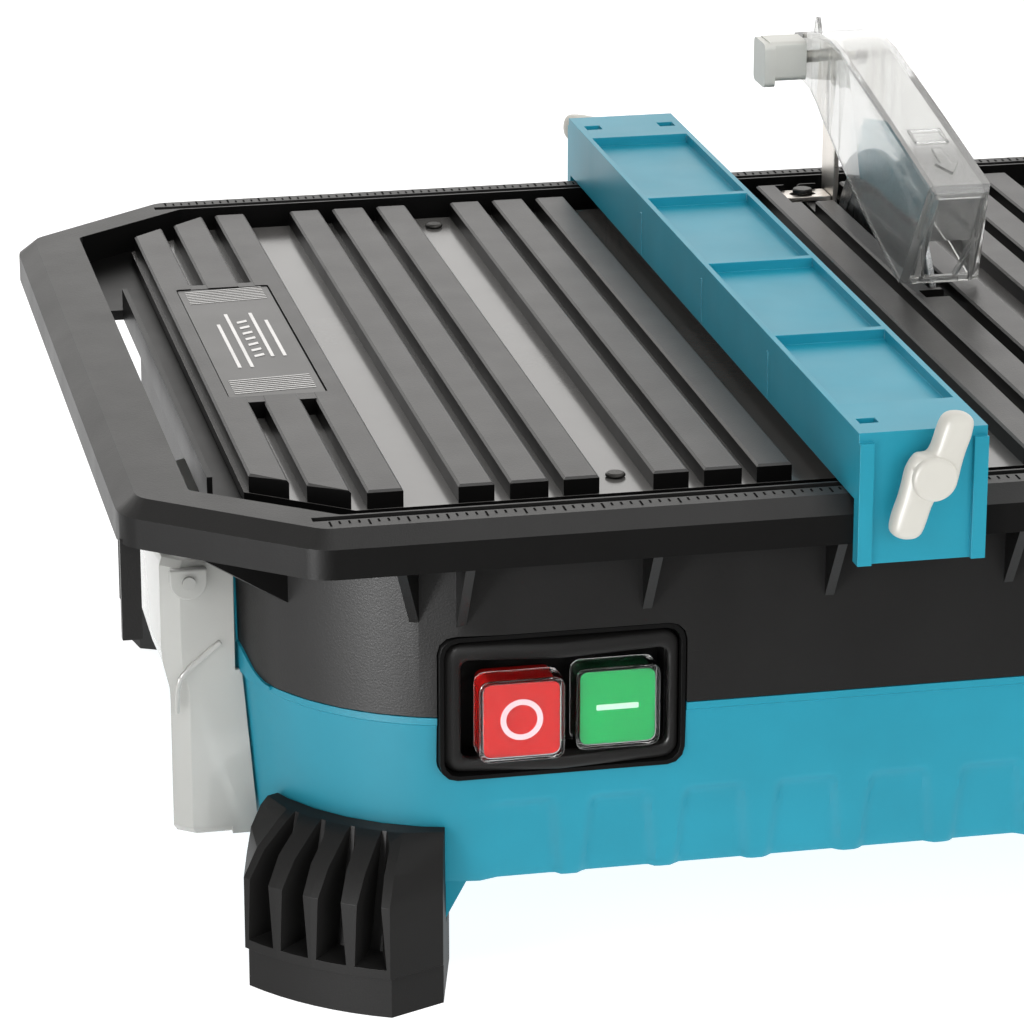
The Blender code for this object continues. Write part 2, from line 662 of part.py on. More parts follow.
def fence_knob(end):
    """S-shaped wing knob fixed to its screw."""
    back = end == "back"
    centre = (FENCE_CENTRE, KNOB_Z)
    turn = math.radians(KNOB_TURN[end])
    outline = []
    for x, z in WING + tuple((-x, -z) for x, z in WING):
        outline.append((centre[0] + x * math.cos(turn) - z * math.sin(turn),
                        centre[1] + x * math.sin(turn) + z * math.cos(turn)))
    knob = prism(f"fence_knob_{end}", outline, "y", *mirror_y(KNOB_Y, back), "cream_plastic")
    face = cylinder("face", "y", centre, mirror_y((KNOB_Y[0] - 1.2, KNOB_Y[0] + 1.0), back), 5.6,
                    "cream_plastic")
    boss = cylinder("boss", "y", centre, mirror_y((KNOB_Y[1] - 1.0, KNOB_Y[1] + 2.4), back), 4.6,
                    "cream_plastic")
    join(knob, face, boss)
    bore = cylinder("bore", "y", centre, mirror_y((-11.0, 0.0), back), 2.3, "cream_plastic", 16)
    cut(knob, bore)
    pivot_at(knob, (FENCE_CENTRE, mirror_y(KNOB_Y, back)[0], KNOB_Z))


def fence_screw(end):
    tip = RIM_FRONT + JAW_CLEARANCE + JAW_THICKNESS + 3.0
    span = mirror_y((-10.6, tip), end == "back")
    screw = cylinder(f"fence_screw_{end}", "y", (FENCE_CENTRE, KNOB_Z), span, 2.0, "steel", 16)
    pivot_at(screw, (FENCE_CENTRE, span[0], KNOB_Z))


def fence_jaw(end):
    """Clamp block inside the bar, whose lip presses the rail's inner edge."""
    back = end == "back"
    jaw = box(f"fence_jaw_{end}", (FENCE_CENTRE - 8.5, FENCE_CENTRE + 8.5), jaw_span(end),
              (TABLE_HEIGHT - 5.0, FENCE_TOP - 6.0), "steel")
    cut(jaw, cylinder("bore", "y", (FENCE_CENTRE, KNOB_Z), mirror_y((10.0, 25.0), back), 2.3, "steel", 16))
    pivot_at(jaw, (FENCE_CENTRE, jaw_span(end)[0], KNOB_Z))


# ---------------------------------------------------------------- guard and riving knife

GUARD_WALL = 2.0
# Stations from front to back: top (y, z, half width), then bottom (y, z, half width), with z
# counted from the table top
GUARD_STATIONS = (
    ((167.0, 32.6, 8.2), (184.6, 0.6, 8.6)),
    ((168.8, 34.6, 9.2), (186.6, 0.6, 12.3)),
    ((216.0, 43.8, 9.2), (226.0, 11.0, 11.9)),
    ((256.0, 51.2, 9.2), (258.0, 20.6, 11.0)),
    ((266.0, 53.1, 9.2), (269.0, 24.4, 10.6)),
    ((276.0, 54.0, 9.2), (280.0, 27.6, 10.2)),
    ((287.0, 53.6, 9.2), (289.0, 31.0, 9.8)),
    ((298.0, 52.0, 9.2), (298.0, 33.2, 9.4)),
    ((318.0, 47.2, 9.2), (318.0, 34.6, 9.2)),
)


def guard_ring(top, bottom, shrink=0.0, drop=0.0, ahead=0.0):
    (ty, tz, tw), (by, bz, bw) = top, bottom
    tz += TABLE_HEIGHT - shrink
    bz += TABLE_HEIGHT - drop
    tw -= shrink
    bw -= shrink
    return [(BLADE_X - tw, ty + ahead, tz), (BLADE_X + tw, ty + ahead, tz),
            (BLADE_X + bw, by + ahead, bz), (BLADE_X - bw, by + ahead, bz)]


def blade_guard():
    """Clear hood over the blade, open below and behind, that swings up on the riving knife."""
    guard = loft("blade_guard", [guard_ring(*station) for station in GUARD_STATIONS], "clear_plastic")
    inner = [guard_ring(*station, shrink=GUARD_WALL, drop=6.0) for station in GUARD_STATIONS[1:]]
    front = guard_ring(*GUARD_STATIONS[0], shrink=GUARD_WALL, drop=6.0, ahead=GUARD_WALL)
    inner[0] = guard_ring(*GUARD_STATIONS[1], shrink=GUARD_WALL, drop=6.0, ahead=GUARD_WALL)
    rear = [(x, y + 6.0, z) for x, y, z in inner[-1]]
    room = loft("room", [front, *inner, rear], "clear_plastic")
    hole = cylinder("hole", "x", (PIVOT_Y, PIVOT_Z), (BLADE_X - 20.0, BLADE_X + 20.0), 2.3,
                    "clear_plastic", 16)
    sill = box("sill", (BLADE_X - 9.2, BLADE_X + 9.2), (185.0, 187.4),
               (TABLE_HEIGHT + 0.6, TABLE_HEIGHT + 2.4), "clear_plastic")
    join(cut(guard, room, hole), sill)
    pivot_at(guard, (BLADE_X, PIVOT_Y, PIVOT_Z))


def guard_bolt():
    head = BLADE_X + 9.9
    profile = [(246.5, 2.0), (head, 2.0), (head + 0.01, 4.0), (head + 2.4, 4.0), (head + 2.9, 3.4)]
    bolt = turned("guard_bolt", (PIVOT_Y, PIVOT_Z), profile, "steel", 16)
    pivot_at(bolt, (BLADE_X, PIVOT_Y, PIVOT_Z))


def guard_knob():
    """Clamp knob on the guard's left side."""
    grip = rounded(rectangle((PIVOT_Y - 6.5, PIVOT_Y + 6.5), (PIVOT_Z - 6.4, PIVOT_Z + 6.4)), 2.0)
    rim = rounded(rectangle((PIVOT_Y - 7.0, PIVOT_Y + 7.0), (PIVOT_Z - 8.2, PIVOT_Z + 6.0)), 2.0)
    knob = prism("guard_knob", grip, "x", 241.5, 253.4, "grey_plastic")
    join(knob, prism("rim", rim, "x", 239.6, 243.0, "grey_plastic"))
    cut(knob, cylinder("bore", "x", (PIVOT_Y, PIVOT_Z), (245.8, 256.0), 2.3, "grey_plastic", 16))
    pivot_at(knob, (BLADE_X, PIVOT_Y, PIVOT_Z))


KNIFE_X = (262.8, 264.4)
KNIFE_SCREW_Y = 305.0
KNIFE_SCREWS = (TABLE_HEIGHT - 15.0, TABLE_HEIGHT - 21.0)
BRACKET_SCREW = (254.3, 304.2)


def riving_knife():
    """Upright steel plate behind the blade that carries the guard."""
    top = arc((PIVOT_Y, PIVOT_Z), 5.4, 0.0, 180.0, 8)
    outline = [(300.6, TABLE_HEIGHT - 25.0), (311.0, TABLE_HEIGHT - 25.0), (312.0, TABLE_HEIGHT + 5.0)]
    outline += top + [(297.5, TABLE_HEIGHT + 5.0)]
    knife = prism("riving_knife", outline, "x", *KNIFE_X, "steel")
    holes = [cylinder("hole", "x", (PIVOT_Y, PIVOT_Z), (255.0, 272.0), 2.3, "steel", 16)]
    holes += [cylinder("hole", "x", (KNIFE_SCREW_Y, z), (255.0, 272.0), 1.8, "steel", 12)
              for z in KNIFE_SCREWS]
    cut(knife, *holes)


def knife_bracket():
    """Angle plate that bolts the riving knife to the deck."""
    outline = [(247.0, TABLE_HEIGHT - 2.7), (247.0, TABLE_HEIGHT - 4.2), (260.9, TABLE_HEIGHT - 4.2),
               (260.9, TABLE_HEIGHT - 25.0), (262.5, TABLE_HEIGHT - 25.0), (262.5, TABLE_HEIGHT - 2.7)]
    bracket = prism("knife_bracket", outline, "y", 299.6, 309.0, "steel")
    x, y = BRACKET_SCREW
    slot = arc((x + 2.2, y), 2.1, -90.0, 90.0, 6) + arc((x - 2.2, y), 2.1, 90.0, 270.0, 6)
    cut(bracket, prism("slot", slot, "z", TABLE_HEIGHT - 6.0, TABLE_HEIGHT, "steel"),
        *[cylinder("hole", "x", (KNIFE_SCREW_Y, z), (255.0, 272.0), 1.8, "steel", 12)
          for z in KNIFE_SCREWS])


def knife_fasteners():
    x, y = BRACKET_SCREW
    heights = ((TABLE_HEIGHT - 10.5, 1.5), (TABLE_HEIGHT - 2.4, 1.5), (TABLE_HEIGHT - 2.39, 3.3),
               (TABLE_HEIGHT - 0.9, 3.0))
    loft("bracket_screw", [on_plane(circle((x, y), radius, 16), "z", z) for z, radius in heights], "steel")
    for i, z in enumerate(KNIFE_SCREWS, start=1):
        profile = [(258.5, 1.5), (264.7, 1.5), (264.71, 2.9), (266.6, 2.6)]
        turned(f"knife_screw_{i}", (KNIFE_SCREW_Y, z), profile, "steel", 16)


# ---------------------------------------------------------------- blade and motor

AXIS = (BLADE_Y, SPINDLE_Z)
SHAFT_RADIUS = 5.0
BORE = SHAFT_RADIUS + GAP
MOTOR_SCREWS = ((245.2, 209.5), (245.2, 272.5))


def on_spindle(piece):
    return pivot_at(piece, (BLADE_X, BLADE_Y, SPINDLE_Z))


def diamond_blade():
    """Continuous-rim diamond disc: a thin core with a slightly thicker rim."""
    core, rim = 0.7, 1.0
    profile = [(BLADE_X - core, 11.1), (BLADE_X - core, 50.0), (BLADE_X - rim, 50.4),
               (BLADE_X - rim, BLADE_RADIUS), (BLADE_X + rim, BLADE_RADIUS), (BLADE_X + rim, 50.4),
               (BLADE_X + core, 50.0), (BLADE_X + core, 11.1)]
    on_spindle(turned("diamond_blade", AXIS, profile, "blade_steel", 56, closed=True))


def blade_clamp():
    """Flanges and nut that hold the blade on the motor shaft."""
    inner = [(258.9, BORE), (258.9, 17.0), (262.6, 17.0), (262.6, 10.8), (264.2, 10.8), (264.2, BORE)]
    on_spindle(turned("inner_flange", AXIS, inner, "steel", 32, closed=True))
    on_spindle(washer("outer_flange", AXIS, (264.6, 267.9), BORE, 17.0, "steel"))
    nut = prism("arbor_nut", circle(AXIS, 9.0, 6), "x", 268.2, 274.0, "steel")
    cut(nut, cylinder("bore", "x", AXIS, (266.0, 276.0), BORE, "steel"))
    on_spindle(nut)


def motor():
    """Direct-drive motor hung below the deck; its shaft carries the blade."""
    shaft = [(161.9, 4.0), (169.5, 4.0), (170.0, SHAFT_RADIUS), (276.0, SHAFT_RADIUS), (277.0, 4.2)]
    on_spindle(turned("motor_shaft", AXIS, shaft, "steel"))
    on_spindle(washer("motor_rotor", AXIS, (180.0, 226.0), BORE, 16.4, "copper"))
    on_spindle(washer("commutator", AXIS, (171.0, 178.0), BORE, 9.0, "copper"))
    blades = 9
    star = [point for i in range(blades) for point in
            arc(AXIS, 15.5, 360.0 * i / blades, 360.0 * i / blades + 10.0, 1)
            + arc(AXIS, 7.5, 360.0 * i / blades + 14.0, 360.0 * i / blades + 34.0, 1)]
    fan = prism("motor_fan", star, "x", 228.0, 235.0, "black_plastic")
    cut(fan, cylinder("bore", "x", AXIS, (226.0, 238.0), BORE, "black_plastic"))
    on_spindle(fan)
    washer("motor_magnets", AXIS, (180.0, 226.0), 17.2, 19.4, "rubber")
    washer("motor_can", AXIS, (170.3, 239.6), 19.8, 22.0, "steel", 36)
    cap = cylinder("motor_end_cap", "x", AXIS, (157.5, 170.0), 22.0, "black_plastic", 36)
    cut(cap, cylinder("seat", "x", AXIS, (161.5, 172.0), 9.9, "black_plastic"))
    washer("rear_bearing", AXIS, (162.0, 169.0), 4.3, 9.6, "steel")
    washer("front_bearing", AXIS, (240.6, 248.6), BORE, 13.6, "steel")


def motor_bracket():
    """Plate that hangs the motor from the deck and seats the front bearing."""
    (_, front), (_, back) = MOTOR_SCREWS
    outline = rounded([(front + 8.0, SPINDLE_Z - 22.0), (back - 8.0, SPINDLE_Z - 22.0),
                       (back - 6.0, DECK_BOTTOM - GAP), (front + 6.0, DECK_BOTTOM - GAP)], 2.0)
    bracket = prism("motor_bracket", outline, "x", 240.0, 249.2, "black_plastic")
    join(bracket, box("ears", (240.0, 250.4), (front - 4.5, back + 4.5),
                      (DECK_BOTTOM - 4.5, DECK_BOTTOM - GAP), "black_plastic"))
    holes = [cylinder("hole", "z", place, (DECK_BOTTOM - 8.0, DECK_BOTTOM + 2.0), 1.8, "black_plastic", 12)
             for place in MOTOR_SCREWS]
    cut(bracket, cylinder("seat", "x", AXIS, (240.3, 252.0), 13.9, "black_plastic", 32),
        cylinder("shaft_hole", "x", AXIS, (235.0, 252.0), 8.0, "black_plastic", 24), *holes)
    for i, place in enumerate(MOTOR_SCREWS, start=1):
        low = DECK_BOTTOM - 4.5 - GAP
        heights = ((low - 2.0, 2.6), (low - 0.01, 3.0), (low, 1.5), (RIB_TOP - 2.6, 1.5))
        loft(f"motor_screw_{i}", [on_plane(circle(place, radius, 16), "z", z) for z, radius in heights],
             "steel")


def blade_trough():
    """Water trough that the lower part of the blade runs in."""
    floor = TUB_BOTTOM + 3.4
    trough = prism("blade_trough", rounded(rectangle((246.0, 282.0), (172.0, 306.0)), 6.0), "z",
                   floor, 70.0, "black_plastic")
    cut(trough, prism("inside", rounded(rectangle((248.2, 279.8), (174.2, 303.8)), 4.5), "z",
                      floor + 2.4, 72.0, "black_plastic"))


# ---------------------------------------------------------------- switch

def button_outline(centre_x, half, radius=2.0):
    return rounded(rectangle((centre_x - half, centre_x + half), (BUTTON_Z - half, BUTTON_Z + half)), radius)


def switch():
    """Twin push-button switch: pan in the wall, frame, contact block, two buttons, clear caps."""
    pan_x = (SWITCH_X[0] + GAP, SWITCH_X[1] - GAP)
    pan_z = (SWITCH_Z[0] + GAP, SWITCH_Z[1] - GAP)
    pan = prism("switch_housing", rounded(rectangle(pan_x, pan_z), 4.7), "y", 13.9, 36.0, "black_plastic")
    recess = prism("recess", rounded(rectangle((79.8, 142.5), (61.5, 98.5)), 4.0), "y",
                   10.0, 18.0, "black_plastic")
    pit = box("pit", (85.0, 138.8), (10.0, 25.0), (65.0, 92.6), "black_plastic")
    stems = [prism("stem_hole", button_outline(x, 6.4), "y", 20.0, 40.0, "black_plastic")
             for x in (STOP_X, START_X)]
    cut(pan, recess, pit, *stems)

    frame = prism("switch_bezel", rounded(rectangle((80.1, 142.2), (61.8, 97.0)), 4.0), "y",
                  12.2, 17.7, "black_plastic")
    cut(frame, prism("window", rounded(rectangle((84.6, 139.2), (65.4, 92.6)), 2.5), "y",
                     8.0, 20.0, "black_plastic"))
    box("switch_contact_block", (84.0, 140.0), (38.6, 52.0), (64.0, 94.0), "black_plastic")
    buttons = (("stop", STOP_X, 9.6, "red_plastic"), ("start", START_X, 13.6, "green_plastic"))
    for name, x, face, look in buttons:
        button = prism(f"{name}_button", button_outline(x, BUTTON_SIZE / 2), "y", face, 21.4, look)
        join(button, prism("stem", button_outline(x, 6.0, 1.0), "y", 21.0, 35.0, look))
        pivot_at(button, (x, face, BUTTON_Z))
        cap = prism(f"{name}_button_cap", button_outline(x, BUTTON_SIZE / 2 + 1.3, 2.6), "y",
                    face - 1.1, face + 6.5, "clear_plastic")
        cut(cap, prism("room", button_outline(x, BUTTON_SIZE / 2 + GAP, 2.2), "y",
                       face - GAP, face + 9.0, "clear_plastic"))
        pivot_at(cap, (x, face, BUTTON_Z))


# ---------------------------------------------------------------- battery bay

def battery_bay():
    """Open box in the left wall for a slide-on battery, with the lugs of the cover's hinge."""
    y = (BAY_Y[0] + GAP, BAY_Y[1] - GAP)
    z = (BAY_Z[0] + GAP, BAY_Z[1] - GAP)
    bay = prism("battery_bay", rounded(rectangle(y, z), 1.7), "x", 33.6, 75.0, "black_plastic")
    hx, hy = COVER_HINGE
    for low in LUGS_Z:
        lug = box("lug", (hx - 3.0, 35.0), (hy - 2.7, hy + 2.4), (low, low + LUG_HEIGHT), "black_plastic")
        join(bay, lug)
    cut(bay, box("inside", (30.0, 72.8), (y[0] + 2.2, 148.0), (z[0] + 2.2, z[1] - 2.2), "black_plastic"),
        cylinder("pin_hole", "z", COVER_HINGE, (LUGS_Z[0] - 2.0, 106.0), 1.6, "black_plastic", 16))
    box("battery_terminals", (63.0, 72.5), (88.0, 128.0), (60.0, 84.0), "black_plastic")
    pin_low = LUGS_Z[0] - 1.0
    pin = cylinder("cover_hinge_pin", "z", COVER_HINGE, (pin_low, 105.0), 1.3, "steel", 12)
    pivot_at(pin, (hx, hy, pin_low))


COVER_TOP = 109.0
COVER_STEP = 73.0
COVER_BOTTOM = 30.0
# x, z of the plate that closes the gap between the cover's front wall and the tub
COVER_FLANGE = ((31.0, COVER_BOTTOM), (38.2, COVER_BOTTOM), (34.7, COVER_STEP), (31.0, COVER_STEP))
COVER_WALL = 1.8
COVER_LATCH = (20.5, 103.5)     # x, z of the turn latch


def cover_plan(bulge, wall=0.0):
    """Plan of the cover: a wedge that is thick at the front, with a bulge in its upper half."""
    open_side = 32.6 if wall == 0.0 else 40.0
    front, back = 62.0 + wall, 150.0 - wall * 2.0
    if bulge:
        return [(open_side, front), (15.4 + wall, front), (12.4 + wall, 84.0), (13.0 + wall, 124.0),
                (18.0 + wall, 141.0 - wall), (open_side, back)]
    return [(open_side, front), (15.4 + wall, front), (24.0 + wall, 106.0), (open_side, back)]


def battery_cover():
    """Clear splash cover over the battery bay, hinged at the back like a door."""
    look = "clear_plastic"
    cover = prism("battery_cover", cover_plan(True), "z", COVER_STEP, COVER_TOP, look)
    hx, hy = COVER_HINGE
    knuckle_z = (LUGS_Z[0] + LUG_HEIGHT + 0.4, LUGS_Z[1] - 0.4)
    knuckle = cylinder("knuckle", "z", COVER_HINGE, knuckle_z, 3.2, look)
    web_z = (knuckle_z[0] + 2.0, knuckle_z[1] - 2.0)
    web = box("web", (hx - 1.0, hx + 2.6), (144.0, hy - 2.0), web_z, look)
    flange = prism("flange", COVER_FLANGE, "y", 62.0, 62.0 + COVER_WALL, look)
    join(cover, prism("wedge", cover_plan(False), "z", COVER_BOTTOM, COVER_STEP + 1.0, look), knuckle, web,
         flange)
    lx, lz = COVER_LATCH
    cut(cover, prism("upper_room", cover_plan(True, COVER_WALL), "z", COVER_STEP + COVER_WALL,
                     COVER_TOP - COVER_WALL, look),
        prism("lower_room", cover_plan(False, COVER_WALL), "z", COVER_BOTTOM + COVER_WALL,
              COVER_STEP + 4.0, look),
        cylinder("pin_hole", "z", COVER_HINGE, (LUGS_Z[0], 102.0), 1.6, look, 16),
        cylinder("latch_hole", "y", COVER_LATCH, (60.0, 66.0), 1.8, look, 12))
    pivot_at(cover, (hx, hy, COVER_BOTTOM))
    latch = prism("cover_latch", [(lx - 5.0, lz + 3.5), *arc(COVER_LATCH, 5.0, 180.0, 360.0, 10),
                                  (lx + 5.0, lz + 3.5)], "y", 59.2, 61.7, look)
    join(latch, cylinder("stub", "y", COVER_LATCH, (61.0, 66.0), 1.5, look, 12))
    pivot_at(latch, (lx, 59.2, lz))


def control_board():
    """Circuit board that switches and protects the motor, on the tub's floor."""
    board = box("control_board", (110.0, 175.0), (70.0, 115.0), (36.0, 37.6), "green_plastic")
    join(board, box("heat_sink", (118.0, 140.0), (78.0, 106.0), (37.0, 48.0), "green_plastic"),
         cylinder("capacitor", "z", (158.0, 92.0), (37.0, 54.0), 6.5, "green_plastic", 16))


def build():
    clear_scene()
    table_frame()
    table_deck()
    deck_screws()
    badge_plate()
    lower_tub()
    for corner in CORNERS:
        foot(corner)
    fence_bar()
    for end in ("front", "back"):
        fence_knob(end)
        fence_screw(end)
        fence_jaw(end)
    blade_guard()
    guard_bolt()
    guard_knob()
    riving_knife()
    knife_bracket()
    knife_fasteners()
    diamond_blade()
    blade_clamp()
    motor()
    motor_bracket()
    blade_trough()
    switch()
    battery_bay()
    battery_cover()
    control_board()


build()
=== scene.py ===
"""Looks of a small table-top tile cutter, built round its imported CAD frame.

Points are millimetres on the bench: x from the table's left edge, y from its front edge and z up
from the surface that the feet stand on. They become metres in the frame's axes when a mesh is made.
"""

import json
import math

import bmesh
import bpy
from mathutils import Matrix, Vector

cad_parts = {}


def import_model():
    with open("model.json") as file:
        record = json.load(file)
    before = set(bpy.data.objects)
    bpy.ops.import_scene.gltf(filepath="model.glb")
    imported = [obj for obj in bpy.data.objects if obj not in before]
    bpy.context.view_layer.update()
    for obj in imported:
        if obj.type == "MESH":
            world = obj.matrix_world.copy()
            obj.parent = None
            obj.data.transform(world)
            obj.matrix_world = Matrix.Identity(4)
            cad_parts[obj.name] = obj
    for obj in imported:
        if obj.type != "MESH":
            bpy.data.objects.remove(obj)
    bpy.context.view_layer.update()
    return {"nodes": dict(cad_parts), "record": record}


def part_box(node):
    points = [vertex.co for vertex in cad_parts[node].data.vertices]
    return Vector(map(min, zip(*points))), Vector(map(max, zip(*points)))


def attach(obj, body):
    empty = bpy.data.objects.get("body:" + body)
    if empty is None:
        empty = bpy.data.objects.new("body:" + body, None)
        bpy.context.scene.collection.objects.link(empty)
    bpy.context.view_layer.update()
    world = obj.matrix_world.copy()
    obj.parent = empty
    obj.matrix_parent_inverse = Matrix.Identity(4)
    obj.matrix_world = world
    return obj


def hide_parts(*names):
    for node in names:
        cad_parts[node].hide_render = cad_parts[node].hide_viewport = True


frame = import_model()

MM = 0.001


def span(node):
    """Lowest and highest corner of a CAD node, in millimetres."""
    low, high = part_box(node)
    return low / MM, high / MM


TABLE_LOW, TABLE_HIGH = span("table_frame")
TABLE_TOP = TABLE_HIGH.z


# ---------------------------------------------------------------- materials

def shader(name):
    """A new material with its nodes, links and Principled shader."""
    made = bpy.data.materials.new(name)
    made.use_nodes = True
    tree = made.node_tree
    return made, tree.nodes, tree.links, tree.nodes["Principled BSDF"]


def noise(nodes, links, scale, detail=2.0, stretch=(1.0, 1.0, 1.0), roughness=0.5):
    """Noise in the frame's axes. Scale is in cells per metre."""
    place = nodes.new("ShaderNodeTexCoord")
    mapping = nodes.new("ShaderNodeMapping")
    mapping.inputs["Scale"].default_value = stretch
    texture = nodes.new("ShaderNodeTexNoise")
    texture.inputs["Scale"].default_value = scale
    texture.inputs["Detail"].default_value = detail
    texture.inputs["Roughness"].default_value = roughness
    links.new(place.outputs["Object"], mapping.inputs["Vector"])
    links.new(mapping.outputs["Vector"], texture.inputs["Vector"])
    return texture.outputs["Fac"]


def ramp(nodes, links, source, low, high, start=0.3, end=0.7):
    """Maps a 0 to 1 value to a range of colours or numbers."""
    made = nodes.new("ShaderNodeMapRange")
    made.inputs["From Min"].default_value = start
    made.inputs["From Max"].default_value = end
    made.inputs["To Min"].default_value = low
    made.inputs["To Max"].default_value = high
    links.new(source, made.inputs["Value"])
    return made.outputs["Result"]


def blend_colours(nodes, links, factor, first, second):
    """Mixes two colours by a factor from 0 to 1."""
    made = nodes.new("ShaderNodeMix")
    made.data_type = "RGBA"
    made.inputs["A"].default_value = (*first, 1.0)
    made.inputs["B"].default_value = (*second, 1.0)
    links.new(factor, made.inputs["Factor"])
    return made.outputs["Result"]


def bump(nodes, links, height, distance, strength=1.0, below=None):
    """A bumped normal. Distance is in metres, and below is a coarser normal to add it to."""
    made = nodes.new("ShaderNodeBump")
    made.inputs["Distance"].default_value = distance
    made.inputs["Strength"].default_value = strength
    links.new(height, made.inputs["Height"])
    if below:
        links.new(below, made.inputs["Normal"])
    return made.outputs["Normal"]


def moulded(name, colour, gloss, grain=0.35, depth=0.02, variation=0.06, specular=0.25, swell=0.3):
    """Injection-moulded plastic: spark-eroded grain, faint flow marks and uneven gloss.

    Grain is the size of the texture and depth its height, both in millimetres. Swell is the
    strength of the broad, shallow waves that shrinkage leaves.
    """
    made, nodes, links, surface = shader(name)
    darker = tuple(c * (1.0 - variation) for c in colour)
    lighter = tuple(min(1.0, c * (1.0 + variation)) for c in colour)
    cloud = noise(nodes, links, 35.0, 4.0)
    links.new(blend_colours(nodes, links, ramp(nodes, links, cloud, 0.0, 1.0), darker, lighter),
              surface.inputs["Base Color"])
    flow = noise(nodes, links, 60.0, 3.0, stretch=(1.0, 1.0, 0.25))
    links.new(ramp(nodes, links, flow, gloss - 0.02, gloss + 0.02), surface.inputs["Roughness"])
    fine = noise(nodes, links, 1.0 / (grain * MM), 2.0, roughness=0.6)
    wave = noise(nodes, links, 45.0, 1.0)
    waves = bump(nodes, links, wave, 0.12 * MM, swell)
    links.new(bump(nodes, links, fine, depth * MM, 1.0, waves), surface.inputs["Normal"])
    surface.inputs["Specular IOR Level"].default_value = specular
    return made


def clear(name, tint, gloss=0.04, wave_depth=0.15, milk=0.0):
    """Clear polycarbonate with the slight waviness of a thin moulding and a few fine scuffs.

    Milk is the share of light that the plastic scatters.
    """
    made, nodes, links, surface = shader(name)
    surface.inputs["Base Color"].default_value = (*tint, 1.0)
    surface.inputs["Transmission Weight"].default_value = 1.0 - milk
    surface.inputs["IOR"].default_value = 1.5
    scuffs = noise(nodes, links, 500.0, 2.0, stretch=(1.0, 0.05, 1.0))
    links.new(ramp(nodes, links, scuffs, gloss, gloss + 0.06, 0.45, 0.75), surface.inputs["Roughness"])
    wave = noise(nodes, links, 40.0, 1.0)
    links.new(bump(nodes, links, wave, wave_depth * MM, 0.6), surface.inputs["Normal"])
    return made


def brushed(name, colour, gloss, stretch=(1.0, 1.0, 0.05), variation=0.15):
    """Plated or ground steel, with fine lines along one axis and a soft tarnish."""
    made, nodes, links, surface = shader(name)
    surface.inputs["Metallic"].default_value = 1.0
    cloud = noise(nodes, links, 60.0, 4.0)
    darker = tuple(c * (1.0 - variation) for c in colour)
    links.new(blend_colours(nodes, links, ramp(nodes, links, cloud, 0.0, 1.0), darker, colour),
              surface.inputs["Base Color"])
    lines = noise(nodes, links, 2500.0, 2.0, stretch=stretch)
    links.new(ramp(nodes, links, lines, gloss - 0.08, gloss + 0.12), surface.inputs["Roughness"])
    links.new(bump(nodes, links, lines, 0.01 * MM, 0.6), surface.inputs["Normal"])
    return made


LOOKS = {
    "black_plastic": moulded("black_moulding", (0.013, 0.0126, 0.0122), 0.42, grain=0.55, depth=0.05,
                             specular=0.22, swell=0.08),
    "deck_plastic": moulded("deck_moulding", (0.028, 0.0270, 0.0260), 0.40, grain=0.55, depth=0.05,
                            specular=0.33, swell=0.05),
    "badge": moulded("badge_film", (0.045, 0.044, 0.042), 0.30, grain=0.2, depth=0.006),
    "teal_plastic": moulded("teal_moulding", (0.012, 0.268, 0.375), 0.38, grain=0.4, depth=0.006),
    "cream_plastic": moulded("cream_moulding", (0.560, 0.548, 0.500), 0.42, grain=0.4, depth=0.006,
                             variation=0.04),
    "grey_plastic": moulded("grey_moulding", (0.640, 0.640, 0.600), 0.42, grain=0.4, depth=0.006,
                            variation=0.04),
    "clear_plastic": clear("clear_moulding", (0.745, 0.748, 0.735), milk=0.12),
    "red_plastic": moulded("red_moulding", (0.430, 0.005, 0.004), 0.35, grain=0.3, depth=0.004,
                           specular=0.10),
    "green_plastic": moulded("green_moulding", (0.003, 0.300, 0.074), 0.35, grain=0.3, depth=0.004,
                             specular=0.10),
    "circuit_board": moulded("board_lacquer", (0.020, 0.210, 0.090), 0.25, grain=0.6, depth=0.01),
    "rubber": moulded("rubber_moulding", (0.015, 0.0146, 0.0142), 0.50, grain=0.6, depth=0.03,
                      specular=0.09, swell=0.1),
    "magnet": moulded("ferrite", (0.050, 0.050, 0.055), 0.45, grain=0.3, depth=0.01),
    "black_oxide": brushed("black_oxide", (0.060, 0.058, 0.055), 0.42),
    "steel": brushed("plated_steel", (0.620, 0.590, 0.540), 0.32),
    "blade_steel": brushed("ground_disc", (0.420, 0.430, 0.440), 0.28),
    "copper": brushed("copper_winding", (0.700, 0.330, 0.180), 0.35, stretch=(0.05, 1.0, 1.0)),
}


DECK_GLOSS = moulded("deck_polish", (0.100, 0.097, 0.093), 0.17, grain=0.9, depth=0.004, specular=0.62,
                     swell=0.1)
# Painted shade: a near-black, duller copy of the deck plastic for rib sides and the table's well and
# gussets.
PAINTED_SHADE_BLACK = moulded("painted_shade_black", (0.005, 0.0049, 0.0048), 0.30, grain=0.5, depth=0.005, specular=0.06)
# Painted shade: a darker, duller copy of the black plastic for the outer skirt.
SKIRT_PAINTED_SHADE = moulded("skirt_painted_shade", (0.007, 0.0068, 0.0066), 0.36, grain=0.55, depth=0.03, specular=0.13,
                      swell=0.08)
# Painted shade: a near-black copy of the black plastic for the pan behind the buttons.
RECESS_PAINTED_SHADE = moulded("recess", (0.004, 0.0039, 0.0038), 0.50, grain=0.5, depth=0.01, specular=0.08)
RULE_INK = moulded("rule_ink", (0.010, 0.0098, 0.0095), 0.65, grain=0.5, depth=0.01, specular=0.0)
